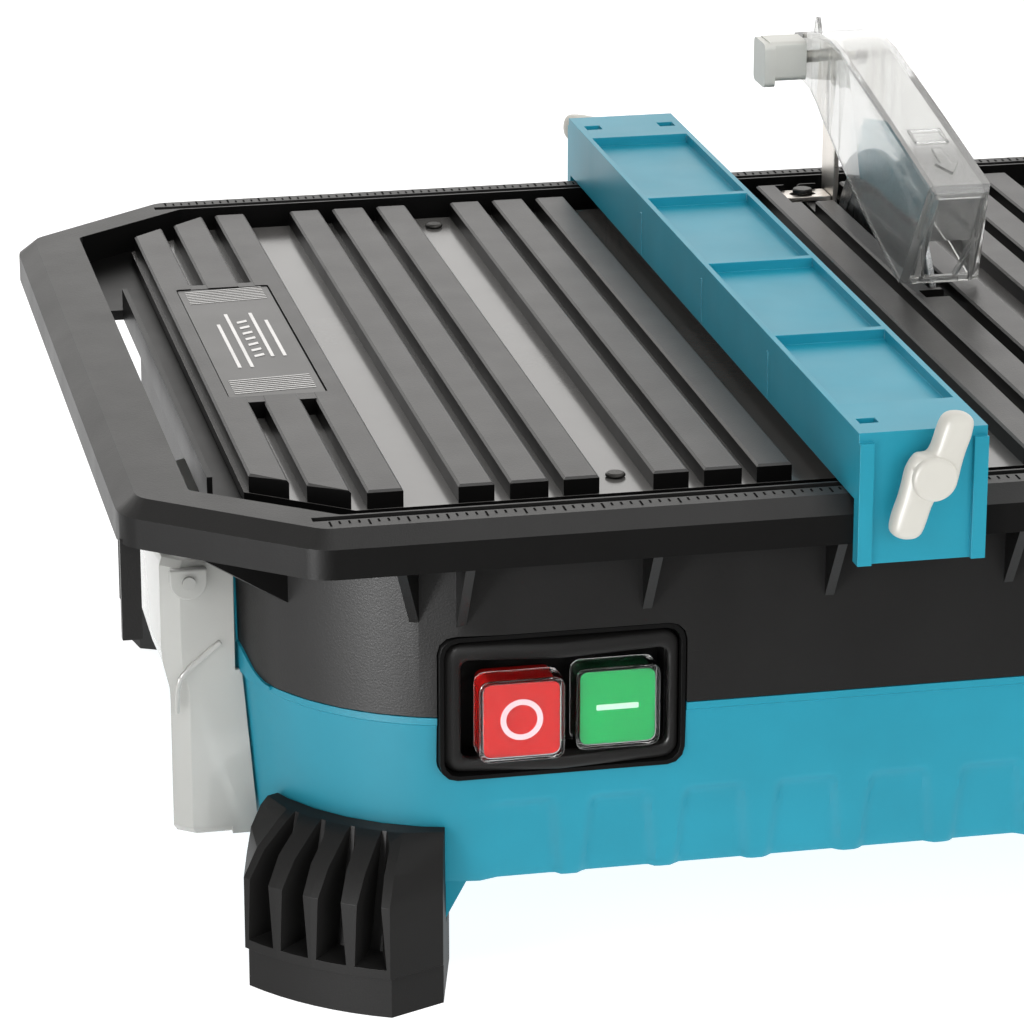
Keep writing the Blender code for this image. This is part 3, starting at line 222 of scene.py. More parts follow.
# Painted shade: a darker green for the start button's sides and back.
GREEN_PAINTED_SHADE = moulded("shaded_green", (0.002, 0.040, 0.012), 0.40, grain=0.3, depth=0.004, specular=0.08)
BADGE_PRINT = brushed("badge_print", (0.55, 0.545, 0.54), 0.30)
PALE_STEEL = brushed("zinc_plate", (0.80, 0.755, 0.70), 0.34, stretch=(0.05, 1.0, 1.0))
STOP_INK = moulded("stop_ink", (0.88, 0.62, 0.66), 0.45, grain=0.3, depth=0.002)
START_INK = moulded("start_ink", (0.56, 0.86, 0.66), 0.45, grain=0.3, depth=0.002)
CAP_CLEAR = clear("cap_moulding", (0.98, 0.975, 0.97))
COVER_CLEAR = clear("cover_moulding", (0.60, 0.605, 0.58), milk=0.74)


# ---------------------------------------------------------------- mesh helpers

def place(point):
    """A bench point, in millimetres, as a point of the frame in metres."""
    x, y, z = point
    return Vector((x + TABLE_LOW.x, y + TABLE_LOW.y, z)) * MM


def solid(name, points, faces):
    """A closed mesh object from bench points; its faces are turned outward."""
    mesh = bpy.data.meshes.new(name)
    mesh.from_pydata([place(point) for point in points], [], faces)
    edit = bmesh.new()
    edit.from_mesh(mesh)
    bmesh.ops.recalc_face_normals(edit, faces=edit.faces)
    edit.to_mesh(mesh)
    edit.free()
    made = bpy.data.objects.new(name, mesh)
    bpy.context.scene.collection.objects.link(made)
    return made


def ring_faces(count, first, second):
    """Quads between two rings of points that start at the indices first and second."""
    return [(first + i, first + (i + 1) % count, second + (i + 1) % count, second + i)
            for i in range(count)]


def loft(name, rings):
    """A solid skinned over rings of equal point counts, with both ends capped."""
    count = len(rings[0])
    points = [point for ring in rings for point in ring]
    faces = [tuple(range(count)), tuple(range(len(points) - count, len(points)))]
    for i in range(len(rings) - 1):
        faces += ring_faces(count, i * count, (i + 1) * count)
    return solid(name, points, faces)


def hoop(name, rings):
    """A solid skinned over rings that close on themselves, such as a frame."""
    count = len(rings[0])
    points = [point for ring in rings for point in ring]
    faces = []
    for i in range(len(rings)):
        faces += ring_faces(count, i * count, ((i + 1) % len(rings)) * count)
    return solid(name, points, faces)


def on_plane(outline, axis, at):
    """Places a flat outline at one value of the axis; the other two keep their order."""
    if axis == "x":
        return [(at, a, b) for a, b in outline]
    if axis == "y":
        return [(a, at, b) for a, b in outline]
    return [(a, b, at) for a, b in outline]


def prism(name, outline, axis, low, high):
    """A flat outline drawn out along an axis."""
    return loft(name, [on_plane(outline, axis, low), on_plane(outline, axis, high)])


def rectangle(x, y):
    """Corners of a rectangle from its two spans."""
    return [(x[0], y[0]), (x[1], y[0]), (x[1], y[1]), (x[0], y[1])]


def box(name, x, y, z):
    """A solid block from its three spans."""
    return prism(name, rectangle(x, y), "z", *z)


def arc(centre, radius, start, end, steps):
    """Points on an arc, in degrees, both ends included."""
    angles = [math.radians(start + (end - start) * i / steps) for i in range(steps + 1)]
    return [(centre[0] + radius * math.cos(a), centre[1] + radius * math.sin(a)) for a in angles]


def circle(centre, radius, steps=32):
    return arc(centre, radius, 0.0, 360.0, steps)[:-1]


def rounded(outline, radius, steps=5):
    """The outline with each corner replaced by an arc."""
    points = []
    for i, corner in enumerate(outline):
        here = Vector(corner)
        back = (Vector(outline[i - 1]) - here).normalized()
        ahead = (Vector(outline[(i + 1) % len(outline)]) - here).normalized()
        half = back.angle(ahead) / 2
        middle = here + (back + ahead).normalized() * radius / math.sin(half)
        start = here + back * radius / math.tan(half) - middle
        turn = math.pi - 2 * half
        if back.cross(ahead) > 0:
            turn = -turn
        for k in range(steps + 1):
            angle = turn * k / steps
            points.append((middle.x + start.x * math.cos(angle) - start.y * math.sin(angle),
                           middle.y + start.x * math.sin(angle) + start.y * math.cos(angle)))
    return points


def smooth_loop(outline, steps=6):
    """A closed Catmull-Rom curve through the outline's points."""
    count = len(outline)
    points = []
    for i in range(count):
        a, b, c, d = (Vector(outline[(i + k) % count]) for k in (-1, 0, 1, 2))
        for k in range(steps):
            t = k / steps
            points.append(tuple(0.5 * (2 * b + (c - a) * t + (2 * a - 5 * b + 4 * c - d) * t * t
                                       + (3 * b - a - 3 * c + d) * t ** 3)))
    return points


def smooth_step(value):
    """An S-curve that is 0 below 0 and 1 above 1."""
    t = min(1.0, max(0.0, value))
    return t * t * (3.0 - 2.0 * t)


def settle(piece):
    """Gives the piece the mesh that its modifiers make, and takes them off."""
    shown = piece.evaluated_get(bpy.context.evaluated_depsgraph_get())
    mesh = bpy.data.meshes.new_from_object(shown)
    piece.modifiers.clear()
    piece.data = mesh
    return piece


def combine(target, tools, operation):
    """Cuts the tools out of the target, or joins them to it, and deletes them."""
    for tool in tools:
        step = target.modifiers.new(operation.lower(), "BOOLEAN")
        step.operation = operation
        step.solver = "EXACT"
        step.object = tool
    settle(target)
    for tool in tools:
        bpy.data.objects.remove(tool)
    return target


def cut(target, *tools):
    return combine(target, tools, "DIFFERENCE")


def join(target, *tools):
    return combine(target, tools, "UNION")


def heap(name, pieces):
    """One object from several separate small ones."""
    edit = bmesh.new()
    for piece in pieces:
        edit.from_mesh(piece.data)
        bpy.data.objects.remove(piece)
    mesh = bpy.data.meshes.new(name)
    edit.to_mesh(mesh)
    edit.free()
    made = bpy.data.objects.new(name, mesh)
    bpy.context.scene.collection.objects.link(made)
    return made


# ---------------------------------------------------------------- finishing a piece

SLOTS = {row["node"]: row["material_slot"] for row in frame["record"]["subparts"]}
BODY_OF = {node: body for body, nodes in frame["record"]["behaviour"]["bodies"].items() for node in nodes}
NODES_DONE = set()


def copied(node):
    """The CAD part's own mesh as a new piece, with its facets merged into flat faces."""
    edit = bmesh.new()
    edit.from_mesh(frame["nodes"][node].data)
    bmesh.ops.remove_doubles(edit, verts=edit.verts, dist=0.002 * MM)
    bmesh.ops.dissolve_limit(edit, angle_limit=math.radians(0.6), verts=edit.verts, edges=edit.edges)
    mesh = bpy.data.meshes.new(node + "_finish")
    edit.to_mesh(mesh)
    edit.free()
    made = bpy.data.objects.new(node + "_finish", mesh)
    bpy.context.scene.collection.objects.link(made)
    return made


def finish(piece, node, width=0.35, segments=2, angle=32.0, look=None, stands_for=True):
    """Rounds the piece's edges, gives it the CAD part's slot, and rides it on the part's body."""
    mesh = piece.data
    mesh.materials.clear()
    mesh.materials.append(look or LOOKS[SLOTS[node]])
    mesh.shade_smooth()
    mesh.set_sharp_from_angle(angle=math.radians(angle))
    if width:
        edges = piece.modifiers.new("edges", "BEVEL")
        edges.width = width * MM
        edges.segments = segments
        edges.limit_method = "ANGLE"
        edges.angle_limit = math.radians(angle)
        normals = piece.modifiers.new("normals", "WEIGHTED_NORMAL")
        normals.weight = 100
        normals.keep_sharp = True
    if stands_for:
        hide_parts(node)
        NODES_DONE.add(node)
    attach(piece, BODY_OF[node])
    return piece


def add_look(piece, look):
    """Adds a further look to a piece and returns its index, for the faces that wear it."""
    piece.data.materials.append(look)
    return len(piece.data.materials) - 1


# ---------------------------------------------------------------- table

RIM_FRONT = 15.0                # width of the front rail's top
RIM_BACK = 14.0
RULE_X = (46.0, 367.0)          # ends of the rails' grooves and marks
GROOVE_WIDTH = 3.0
LIP_WIDTH = 0.9                 # between the rail's inner edge and its groove
GROOVE_DEPTH = 1.6
MARK_MARGIN = 4.0               # plain length at each end of the marks
MARK_PITCH = 2.5
MARK_START = 4.9                # from the rail's inner edge
MARK_LONG = 3.4                 # every fourth mark
MARK_SHORT = 1.9
MARK_HALF = 0.25
LENGTH = TABLE_HIGH.x - TABLE_LOW.x
DEPTH = TABLE_HIGH.y - TABLE_LOW.y
DECK_FLOOR = TABLE_TOP - 6.0
BODY_FRONT = 13.4               # how far the body stands in from the table's front edge
WELL_X = (25.5, 387.5)          # inside of the rim, where the deck lies, with the rails' grooves
WELL_Y = (10.5, 319.5)
WELL_Z = (TABLE_TOP - 20.0, TABLE_TOP - 0.3)
GUSSET_TOP = TABLE_TOP - 12.0
SKIRT_Z = (TABLE_TOP - 14.0, TABLE_TOP - 4.0)


def rails():
    """Front and back rail: where the inner edge is, and which way the rail runs outward."""
    return ((RIM_FRONT, -1.0), (DEPTH - RIM_BACK, 1.0))


def table():
    """The rim and body, with a groove along each rail; the well, gussets and skirt are darkened with
    painted shade.
    """
    body = copied("table_frame")
    grooves = []
    for edge, outward in rails():
        near = edge + outward * LIP_WIDTH
        across = sorted((near, near + outward * GROOVE_WIDTH))
        grooves.append(box("groove", RULE_X, across, (TABLE_TOP - GROOVE_DEPTH, TABLE_TOP + 1.0)))
    piece = finish(cut(body, *grooves), "table_frame", width=0.5, segments=3)
    dark = add_look(piece, PAINTED_SHADE_BLACK)
    skirt = add_look(piece, SKIRT_PAINTED_SHADE)
    for face in piece.data.polygons:
        x, y, z = face.center / MM
        x, y = x - TABLE_LOW.x, y - TABLE_LOW.y
        in_well = WELL_X[0] < x < WELL_X[1] and WELL_Y[0] < y < WELL_Y[1] and WELL_Z[0] < z < WELL_Z[1]
        inward = face.normal.x * (LENGTH / 2 - x) + face.normal.y * (DEPTH / 2 - y) > 0.0
        sunk = in_well and (inward or face.normal.z > 0.95)
        on_body = BODY_FRONT < y < DEPTH - BODY_FRONT
        gusset = not on_body and abs(face.normal.x) > 0.5 and z < GUSSET_TOP
        # Well and gusset faces get painted shade.
        if sunk or gusset:
            face.material_index = dark
        # Outer skirt faces get a darker painted shade.
        elif not inward and abs(face.normal.z) < 0.4 and SKIRT_Z[0] < z < SKIRT_Z[1]:
            face.material_index = skirt


def rule_marks():
    """Dark marks along both rails every 2.5 mm, longer every 10 mm."""
    marks = []
    for edge, outward in rails():
        for i in range(int((RULE_X[1] - RULE_X[0] - 2 * MARK_MARGIN) / MARK_PITCH)):
            x = RULE_X[0] + MARK_MARGIN + MARK_PITCH * i
            length = MARK_LONG if i % 4 == 0 else MARK_SHORT
            start = edge + outward * MARK_START
            across = sorted((start, start + outward * length))
            marks.append(box("mark", (x - MARK_HALF, x + MARK_HALF), across,
                             (TABLE_TOP - 0.05, TABLE_TOP + 0.10)))
    finish(heap("rule_marks", marks), "table_frame", width=0.0, look=RULE_INK, stands_for=False)


def deck():
    """The ribbed plate: textured rib tops, rib sides darkened with painted shade, and a polished floor
    between them.
    """
    piece = finish(copied("table_deck"), "table_deck", width=0.8, segments=3)
    polish = add_look(piece, DECK_GLOSS)
    side = add_look(piece, PAINTED_SHADE_BLACK)
    for face in piece.data.polygons:
        if face.normal.z > 0.99 and abs(face.center.z / MM - DECK_FLOOR) < 0.1:
            face.material_index = polish
        # Rib side walls get painted shade.
        elif abs(face.normal.z) < 0.5:
            face.material_index = side


BADGE_LEAN = 2.2                # how far a fine bar slopes from one side to the other
BADGE_BARS = 8                  # fine bars at each end
BADGE_BAR_PITCH = 1.7
BADGE_LINES = ((6.5, 27.0, 70.0), (10.0, 27.0, 80.0), (17.2, 36.0, 80.0), (20.7, 36.0, 72.0))
BADGE_STEPS = 7                 # short bars in the middle
BADGE_STEP_PITCH = 5.6


def badge():
    """Film plate with fine bright bars at both ends and a plain generic pattern between them."""
    finish(copied("badge_plate"), "badge_plate", width=0.15)
    low, high = span("badge_plate")
    x0, x1 = low.x - TABLE_LOW.x, high.x - TABLE_LOW.x
    y0, y1 = low.y - TABLE_LOW.y, high.y - TABLE_LOW.y
    z = (high.z - 0.05, high.z + 0.10)
    bars = []
    for end, sign in ((y0 + 3.0, 1.0), (y1 - 3.0, -1.0)):
        for i in range(BADGE_BARS):
            y = end + sign * i * BADGE_BAR_PITCH
            far = y + BADGE_LEAN
            outline = [(x0 + 2.0, y), (x1 - 2.0, far), (x1 - 2.0, far + 0.5), (x0 + 2.0, y + 0.5)]
            bars.append(prism("bar", outline, "z", *z))
    for across, start, end in BADGE_LINES:
        x = x0 + across
        bars.append(prism("bar", rectangle((x, x + 1.0), (y0 + start, y0 + end)), "z", *z))
    for i in range(BADGE_STEPS):
        y = y0 + 36.0 + BADGE_STEP_PITCH * i
        outline = [(x0 + 12.6, y), (x0 + 15.6, y + 1.6), (x0 + 15.6, y + 3.6), (x0 + 12.6, y + 2.0)]
        bars.append(prism("bar", outline, "z", *z))
    finish(heap("badge_bars", bars), "badge_plate", width=0.0, look=BADGE_PRINT, stands_for=False)


# ---------------------------------------------------------------- tub

BODY_SIDE = 33.0
BODY_CORNER = 62.0
TUB_BOTTOM = 29.0
TUB_TOP = 77.4
PANEL_FIRST = 101.5             # x of the first panel's middle
PANEL_PITCH = 25.4
PANELS = 9
PANEL_TOP = 53.6
PANEL_DEPTH = 1.8
WALL_HEIGHTS = (33.0, 36.0, 39.0, 42.0, 45.0, 47.5, 49.5, 50.5, 51.2, 51.9, 52.6, 53.3, 54.0,
                58.0, 64.0, 70.0, 75.0)
CORNER_CENTRE = (BODY_SIDE + BODY_CORNER, BODY_FRONT + BODY_CORNER)
# First and last angle, inner and outer radius, and height of a foot post's lower and upper end
POST_ENDS = ((209.0, 253.0, 47.5, 55.4, 13.0), (203.0, 262.0, 46.0, 56.4, TUB_BOTTOM + 1.5))
FLANGE_START = 187.2            # degrees round the corner, from the battery bay forward
FLANGE_TURN = 20.0
FLANGE_STEPS = 40


def body_outline(distance, pitch=1.4):
    """The body's plan, moved inward, with close points along the front and back walls."""
    corners = rectangle((BODY_SIDE + distance, LENGTH - BODY_SIDE - distance),
                        (BODY_FRONT + distance, DEPTH - BODY_FRONT - distance))
    plan = rounded(corners, BODY_CORNER - distance, 18)
    points = []
    for i, (x, y) in enumerate(plan):
        ahead = plan[(i + 1) % len(plan)]
        long_wall = abs(ahead[0] - x) > 100.0
        steps = int((LENGTH - 2 * BODY_SIDE - 2 * BODY_CORNER) / pitch) if long_wall else 1
        for k in range(steps):
            points.append((x + (ahead[0] - x) * k / steps, y + (ahead[1] - y) * k / steps))
    return points


def panel_depth(x, z):
    """How deep the shallow panels sink the front and back walls at a point."""
    nearest = min(abs(x - PANEL_FIRST - PANEL_PITCH * i) for i in range(PANELS))
    half = 7.2 + (PANEL_TOP - z) * 0.1
    return PANEL_DEPTH * smooth_step((half - nearest) / 2.2 + 0.5) * smooth_step((PANEL_TOP - z) / 4.0)


def tub_ring(distance, z, panels=True):
    """The tub's plan at one height, moved inward, with the panels sunk in if asked."""
    ring = []
    for x, y in body_outline(distance):
        straight = BODY_SIDE + BODY_CORNER - 6.0 < x < LENGTH - BODY_SIDE - BODY_CORNER + 6.0
        sink = panel_depth(x, z) if panels and straight else 0.0
        ring.append((x, y + sink if y < DEPTH / 2 else y - sink, z))
    return ring


def tub():
    """The coloured tub, with soft panels along its front and back and a lip under the split."""
    rings = [tub_ring(6.9, TUB_BOTTOM), tub_ring(5.2, TUB_BOTTOM + 0.5), tub_ring(4.5, TUB_BOTTOM + 2.0)]
    for z in WALL_HEIGHTS:
        rings.append(tub_ring(4.4 - 3.6 * (z - 31.0) / 44.0, z))
    rings += [tub_ring(0.1, 75.5), tub_ring(0.1, TUB_TOP), tub_ring(3.0, TUB_TOP, False),
              tub_ring(8.6, TUB_BOTTOM + 3.0, False)]
    piece = loft("lower_tub_finish", rings)
    opening = prism("switch_opening", rounded(rectangle((78.3, 144.0), (60.0, 100.0)), 5.0), "y", 5.4, 33.4)
    bay = prism("bay_opening", rounded(rectangle((68.0, 158.0), (36.0, 108.0)), 2.0), "x", 25.0, 53.0)
    cut(piece, opening, bay)
    posts = []
    for flip_x in (False, True):
        for flip_y in (False, True):
            ends = []
            for start, end, inner, outer, z in POST_ENDS:
                plan = arc(CORNER_CENTRE, outer, start, end, 8) + arc(CORNER_CENTRE, inner, end, start, 8)
                ends.append([(LENGTH - x if flip_x else x, DEPTH - y if flip_y else y, z) for x, y in plan])
            posts.append(loft("post", ends))
    join(piece, *posts)
    finish(piece, "lower_tub", width=0.0, angle=40.0)
    tub_flange()


def tub_flange():
    """Thin skin on the body's front left corner, where the tub's top edge sweeps up to the battery bay."""
    rings = []
    for i in range(FLANGE_STEPS + 1):
        angle = FLANGE_START + FLANGE_TURN * i / FLANGE_STEPS
        sweep = 8.0 * (1.0 - smooth_step((angle - 186.0) / 21.0))
        strip = 23.6 * (1.0 - smooth_step((angle - 187.8) / 2.2))
        top = TUB_TOP + sweep + strip
        (x0, y0), (x1, y1) = (arc(CORNER_CENTRE, radius, angle, angle, 1)[0] for radius in (61.7, 62.5))
        low = TUB_TOP - 1.0
        rings.append([(x0, y0, low), (x1, y1, low), (x1, y1, top), (x0, y0, top)])
    finish(loft("tub_flange", rings), "lower_tub", width=0.0, stands_for=False)


# ---------------------------------------------------------------- switch

STOP_X = 99.2
START_X = 125.4
BUTTON_Z = 78.0
BEZEL_KINK = 110.0              # the frame's face leans back to both sides of this x
BEZEL_FACE = 12.2               # y of the face at the kink
BEZEL_BACK = 17.7               # y of the flat back
BEZEL_LEAN = (0.14, 0.10)       # to the left and to the right
SYMBOL_DEPTH = (-0.17, 0.02)    # y of a printed symbol's front and back, from the button's face


def with_points_at(outline, x):
    """The outline with a point added wherever it crosses a value of x."""
    points = []
    for i, here in enumerate(outline):
        ahead = outline[(i + 1) % len(outline)]
        points.append(here)
        if (here[0] - x) * (ahead[0] - x) < 0:
            t = (x - here[0]) / (ahead[0] - here[0])
            points.append((x, here[1] + (ahead[1] - here[1]) * t))
    return points


def bezel():
    """Raised frame round the buttons, whose face leans back towards both ends."""
    def ring(x, z, radius, depth):
        outline = with_points_at(rounded(rectangle(x, z), radius), BEZEL_KINK)
        points = []
        for px, pz in outline:
            slope = BEZEL_LEAN[0] if px < BEZEL_KINK else BEZEL_LEAN[1]
            points.append((px, BEZEL_FACE + depth + abs(px - BEZEL_KINK) * slope, pz))
        return points

    outer, window = ((80.1, 142.2), (61.8, 97.0)), ((84.6, 139.2), (65.4, 92.6))
    back_outer = [(x, BEZEL_BACK, z) for x, _, z in ring(*outer, 4.0, 0.0)]
    back_window = [(x, BEZEL_BACK, z) for x, _, z in ring(*window, 2.5, 0.0)]
    rings = [back_outer, ring(*outer, 4.0, 1.1), ring((80.5, 141.8), (62.2, 96.6), 3.7, 0.35),
             ring((81.3, 141.0), (63.0, 95.8), 3.2, 0.0), ring((83.8, 140.0), (64.6, 93.4), 2.9, 0.0),
             ring((84.4, 139.4), (65.2, 92.8), 2.6, 0.4), ring(*window, 2.5, 1.0), back_window]
    finish(hoop("switch_bezel_finish", rings), "switch_bezel", width=0.0, angle=50.0)


def buttons():
    """Both buttons with their clear caps, the pan behind them darkened with painted shade, and the printed
    O and I.
    """
    for name in ("stop_button", "start_button"):
        piece = finish(copied(name), name, width=0.9, segments=4)
        # The start button's sides and back get painted shade.
        if name == "start_button":
            shaded = add_look(piece, GREEN_PAINTED_SHADE)
            for face in piece.data.polygons:
                if face.normal.y > -0.5:
                    face.material_index = shaded
        finish(copied(name + "_cap"), name + "_cap", width=0.7, segments=3, look=CAP_CLEAR)
    # The pan behind the buttons is painted shade.
    finish(copied("switch_housing"), "switch_housing", look=RECESS_PAINTED_SHADE)
    stop_face = span("stop_button")[0].y - TABLE_LOW.y
    start_face = span("start_button")[0].y - TABLE_LOW.y
    rings = []
    for radius, depth in ((5.6, 0), (5.6, 1), (4.1, 1), (4.1, 0)):
        rings.append(on_plane(circle((STOP_X, BUTTON_Z), radius, 48), "y", stop_face + SYMBOL_DEPTH[depth]))
    finish(hoop("stop_symbol", rings), "stop_button", width=0.0, look=STOP_INK, stands_for=False)
    bar = rounded(rectangle((START_X - 5.6, START_X + 5.6), (BUTTON_Z - 0.75, BUTTON_Z + 0.75)), 0.3)
    finish(prism("start_symbol", bar, "y", start_face + SYMBOL_DEPTH[0], start_face + SYMBOL_DEPTH[1]),
           "start_button", width=0.0, look=START_INK, stands_for=False)


# ---------------------------------------------------------------- fence

FENCE_X = (183.5, 217.5)
FENCE_CENTRE = sum(FENCE_X) / 2
KNOB_Z = TABLE_TOP + 8.9
KNOB_MIDDLE = -10.6             # y of the front knob's parting line
KNOB_HALF = 3.9                 # half of the wings' thickness
KNOB_TURN = {"front": 0.0, "back": 96.0}       # how far each knob stands turned, in degrees
# Half of the wings' outline, and the crest line that the crowned face rises to
WING = ((2.4, 15.0), (6.6, 16.4), (10.2, 14.6), (10.0, 10.6), (8.6, 6.0), (7.6, 2.0), (6.6, -2.4),
        (4.4, -5.6), (0.6, -6.6))
WING_RIDGE = ((-6.2, -12.6), (-3.2, -7.6), (0.0, 0.0), (3.2, 7.6), (6.2, 12.6))


def nearest_on_ridge(point):
    """The point of the wings' crest line that is nearest to a point of the outline."""
    best, least = None, 1e9
    for a, b in zip(WING_RIDGE, WING_RIDGE[1:]):
        a, b = Vector(a), Vector(b)
        t = min(1.0, max(0.0, (Vector(point) - a).dot(b - a) / (b - a).length_squared))
        spot = a + (b - a) * t
        if (spot - Vector(point)).length < least:
            best, least = spot, (spot - Vector(point)).length
    return best


CROWN_SHARES = (0.9, 0.72, 0.5, 0.3, 0.16, 0.07, 0.02)      # how far a ring is drawn in to the crest
CROWN_POWER = 2.6               # how square the crown's section is
FACE_PROFILE = ((-2.0, 5.9), (KNOB_HALF - 0.1, 5.9), (KNOB_HALF + 0.6, 5.5), (KNOB_HALF + 0.9, 4.6))


def fence_knob(end):
    """S-shaped wing knob, crowned all round, with a raised round boss in the middle."""
    outline = smooth_loop(list(WING) + [(-x, -z) for x, z in WING], 5)
    outline.reverse()
    stations = [(t, -1.0) for t in CROWN_SHARES] + [(0.0, 0.0)]
    stations += [(t, 1.0) for t in reversed(CROWN_SHARES)]
    middle = KNOB_MIDDLE if end == "front" else DEPTH - KNOB_MIDDLE
    out = -1.0 if end == "front" else 1.0
    turn = Matrix.Rotation(math.radians(KNOB_TURN[end]), 2)
    rings = []
    for t, side in stations:
        half = KNOB_HALF * (1.0 - (1.0 - t) ** CROWN_POWER) ** (1.0 / CROWN_POWER)
        ring = []
        for point in outline:
            spot = turn @ Vector(point).lerp(nearest_on_ridge(point), t)
            ring.append((FENCE_CENTRE + spot.x, middle + side * half, KNOB_Z + spot.y))
        rings.append(ring)
    knob = loft(f"fence_knob_{end}_finish", rings)
    face = loft("face", [on_plane(circle((FENCE_CENTRE, KNOB_Z), radius, 40), "y", middle + out * depth)
                         for depth, radius in FACE_PROFILE])
    boss = prism("boss", circle((FENCE_CENTRE, KNOB_Z), 4.6, 32), "y",
                 *sorted((middle, middle - out * 5.6)))
    join(knob, face, boss)
    finish(knob, f"fence_knob_{end}", width=0.0, angle=55.0)


WITNESS_Y = (85.0, 158.0, 232.0)


def fence():
    """The bar, with faint witness ribs on its walls where the pockets are divided, and its knobs."""
    bar = copied("fence_bar")
    ribs = []
    for y in WITNESS_Y:
        for x in (FENCE_X[0] - 0.25, FENCE_X[1] - 0.25):
            ribs.append(box("rib", (x, x + 0.5), (y - 0.7, y + 0.7), (TABLE_TOP + 1.0, TABLE_TOP + 14.0)))
    join(bar, *ribs)
    finish(bar, "fence_bar", width=0.6, segments=3)
    for end in ("front", "back"):
        fence_knob(end)


# ---------------------------------------------------------------- guard

BLADE_X = 263.6
# The roof's ridge: y, and height above the table
GUARD_ROOF = ((168.8, 34.6), (216.0, 43.8), (256.0, 51.2), (275.0, 54.0), (298.0, 52.4), (318.0, 47.2))


ROOF_ARROW = ((0.0, 176.0), (3.6, 183.0), (1.5, 183.0), (1.5, 193.0), (-1.5, 193.0), (-1.5, 183.0),
              (-3.6, 183.0))
MOUTH_STEPS = 12


def roof_height(y):
    """Height of the guard's roof at a value of y."""
    for (ya, za), (yb, zb) in zip(GUARD_ROOF, GUARD_ROOF[1:]):
        if ya <= y <= yb:
            return TABLE_TOP + za + (zb - za) * (y - ya) / (yb - ya)
    return TABLE_TOP + GUARD_ROOF[-1][1]


def on_roof(name, outline, low=-0.1, high=0.45):
    """A thin shape that lies on the guard's sloping roof."""
    rings = [[(BLADE_X + x, y, roof_height(y) + lift) for x, y in outline] for lift in (low, high)]
    return loft(name, rings)


def guard_marks():
    """Raised arrow and frame on the guard's roof."""
    marks = [on_roof("mark", ROOF_ARROW)]
    for y in (197.0, 205.0):
        marks.append(on_roof("mark", rectangle((-5.2, 5.2), (y, y + 1.0))))
    for x in (-5.2, 4.4):
        marks.append(on_roof("mark", rectangle((x, x + 0.8), (198.0, 205.0))))
    finish(heap("guard_marks", marks), "blade_guard", width=0.12, stands_for=False)


def guard_mouth():
    """Thick edge round the guard's open front end."""
    bars = []
    for side in (-1.0, 1.0):
        rings = []
        for i in range(MOUTH_STEPS + 1):
            t = i / MOUTH_STEPS
            x = BLADE_X + side * (8.0 - 3.6 * t ** 3)
            y, z = 168.6 + 17.0 * t, TABLE_TOP + 32.4 - 30.4 * t
            outer = x + side * 1.1
            rings.append([(x, y, z), (outer, y, z), (outer, y + 3.2, z), (x, y + 3.2, z)])
        bars.append(loft("bar", rings))
    bars.append(box("sill", (BLADE_X - 5.6, BLADE_X + 5.6), (184.4, 186.6),
                    (TABLE_TOP + 0.6, TABLE_TOP + 2.2)))
    bars.append(box("brow", (BLADE_X - 7.4, BLADE_X + 7.4), (167.2, 169.6),
                    (TABLE_TOP + 30.6, TABLE_TOP + 33.0)))
    finish(heap("guard_mouth", bars), "blade_guard", width=0.35, segments=3, stands_for=False)


def guard():
    """Clear hood with rounded edges and a small sight fin, its clamp knob, and the steel under it."""
    finish(copied("blade_guard"), "blade_guard", width=1.1, segments=4, angle=25.0)
    guard_marks()
    guard_mouth()
    fin = [(294.0, roof_height(294.0) - 0.4), (300.0, roof_height(300.0) - 0.4),
           (298.2, roof_height(300.0) + 4.6), (296.8, roof_height(300.0) + 4.8)]
    finish(prism("guard_fin", fin, "x", BLADE_X - 7.9, BLADE_X - 6.6), "blade_guard", width=0.2,
           stands_for=False)
    finish(copied("guard_knob"), "guard_knob", width=2.2, segments=5)
    finish(copied("bracket_screw"), "bracket_screw", look=LOOKS["black_oxide"])
    finish(copied("knife_bracket"), "knife_bracket", width=0.2, look=PALE_STEEL)
    finish(copied("riving_knife"), "riving_knife", width=0.2, look=PALE_STEEL)


# ---------------------------------------------------------------- battery cover

# The cover's plan at the foot of its wedge and at the fullest part of its bulge
WEDGE_PLAN = ((32.6, 62.0), (20.4, 62.0), (15.6, 65.6), (19.7, 84.0), (27.5, 124.0), (30.8, 141.0),
              (32.6, 150.0))
BULGE_PLAN = ((32.6, 62.0), (18.4, 62.0), (13.6, 66.4), (12.4, 84.0), (13.0, 124.0), (18.0, 141.0),
              (32.6, 150.0))
COVER_WALL = 1.7
HINGE = (28.6, 155.0)           # x and y of the hinge pin
LATCH = (20.5, 103.5)           # x and z of the latch's shank
BOSS = (26.4, 75.5)             # x and z of the small moulded boss
COVER_LIP = ((28.5, 86.0), (24.0, 82.6), (19.8, 79.0), (17.3, 76.0), (16.4, 72.6), (16.2, 66.0),
             (17.4, 66.0), (17.6, 72.2), (18.4, 75.2), (20.8, 77.9), (25.0, 81.4), (29.4, 84.8))
COVER_FLANGE = ((31.0, 30.0), (38.2, 30.0), (34.4, 77.0), (31.0, 77.0))
# Height, share of the bulge, and how far the end is rounded in
COVER_STATIONS = ((30.0, 0.0, 2.4), (30.5, 0.0, 1.0), (32.4, 0.0, 0.0), (70.0, 0.0, 0.0), (72.0, 0.08, 0.0),
                  (75.0, 0.42, 0.0), (79.0, 0.86, 0.0), (83.0, 1.0, 0.0), (106.4, 1.0, 0.0),
                  (108.4, 1.0, 0.9), (109.0, 1.0, 2.2))


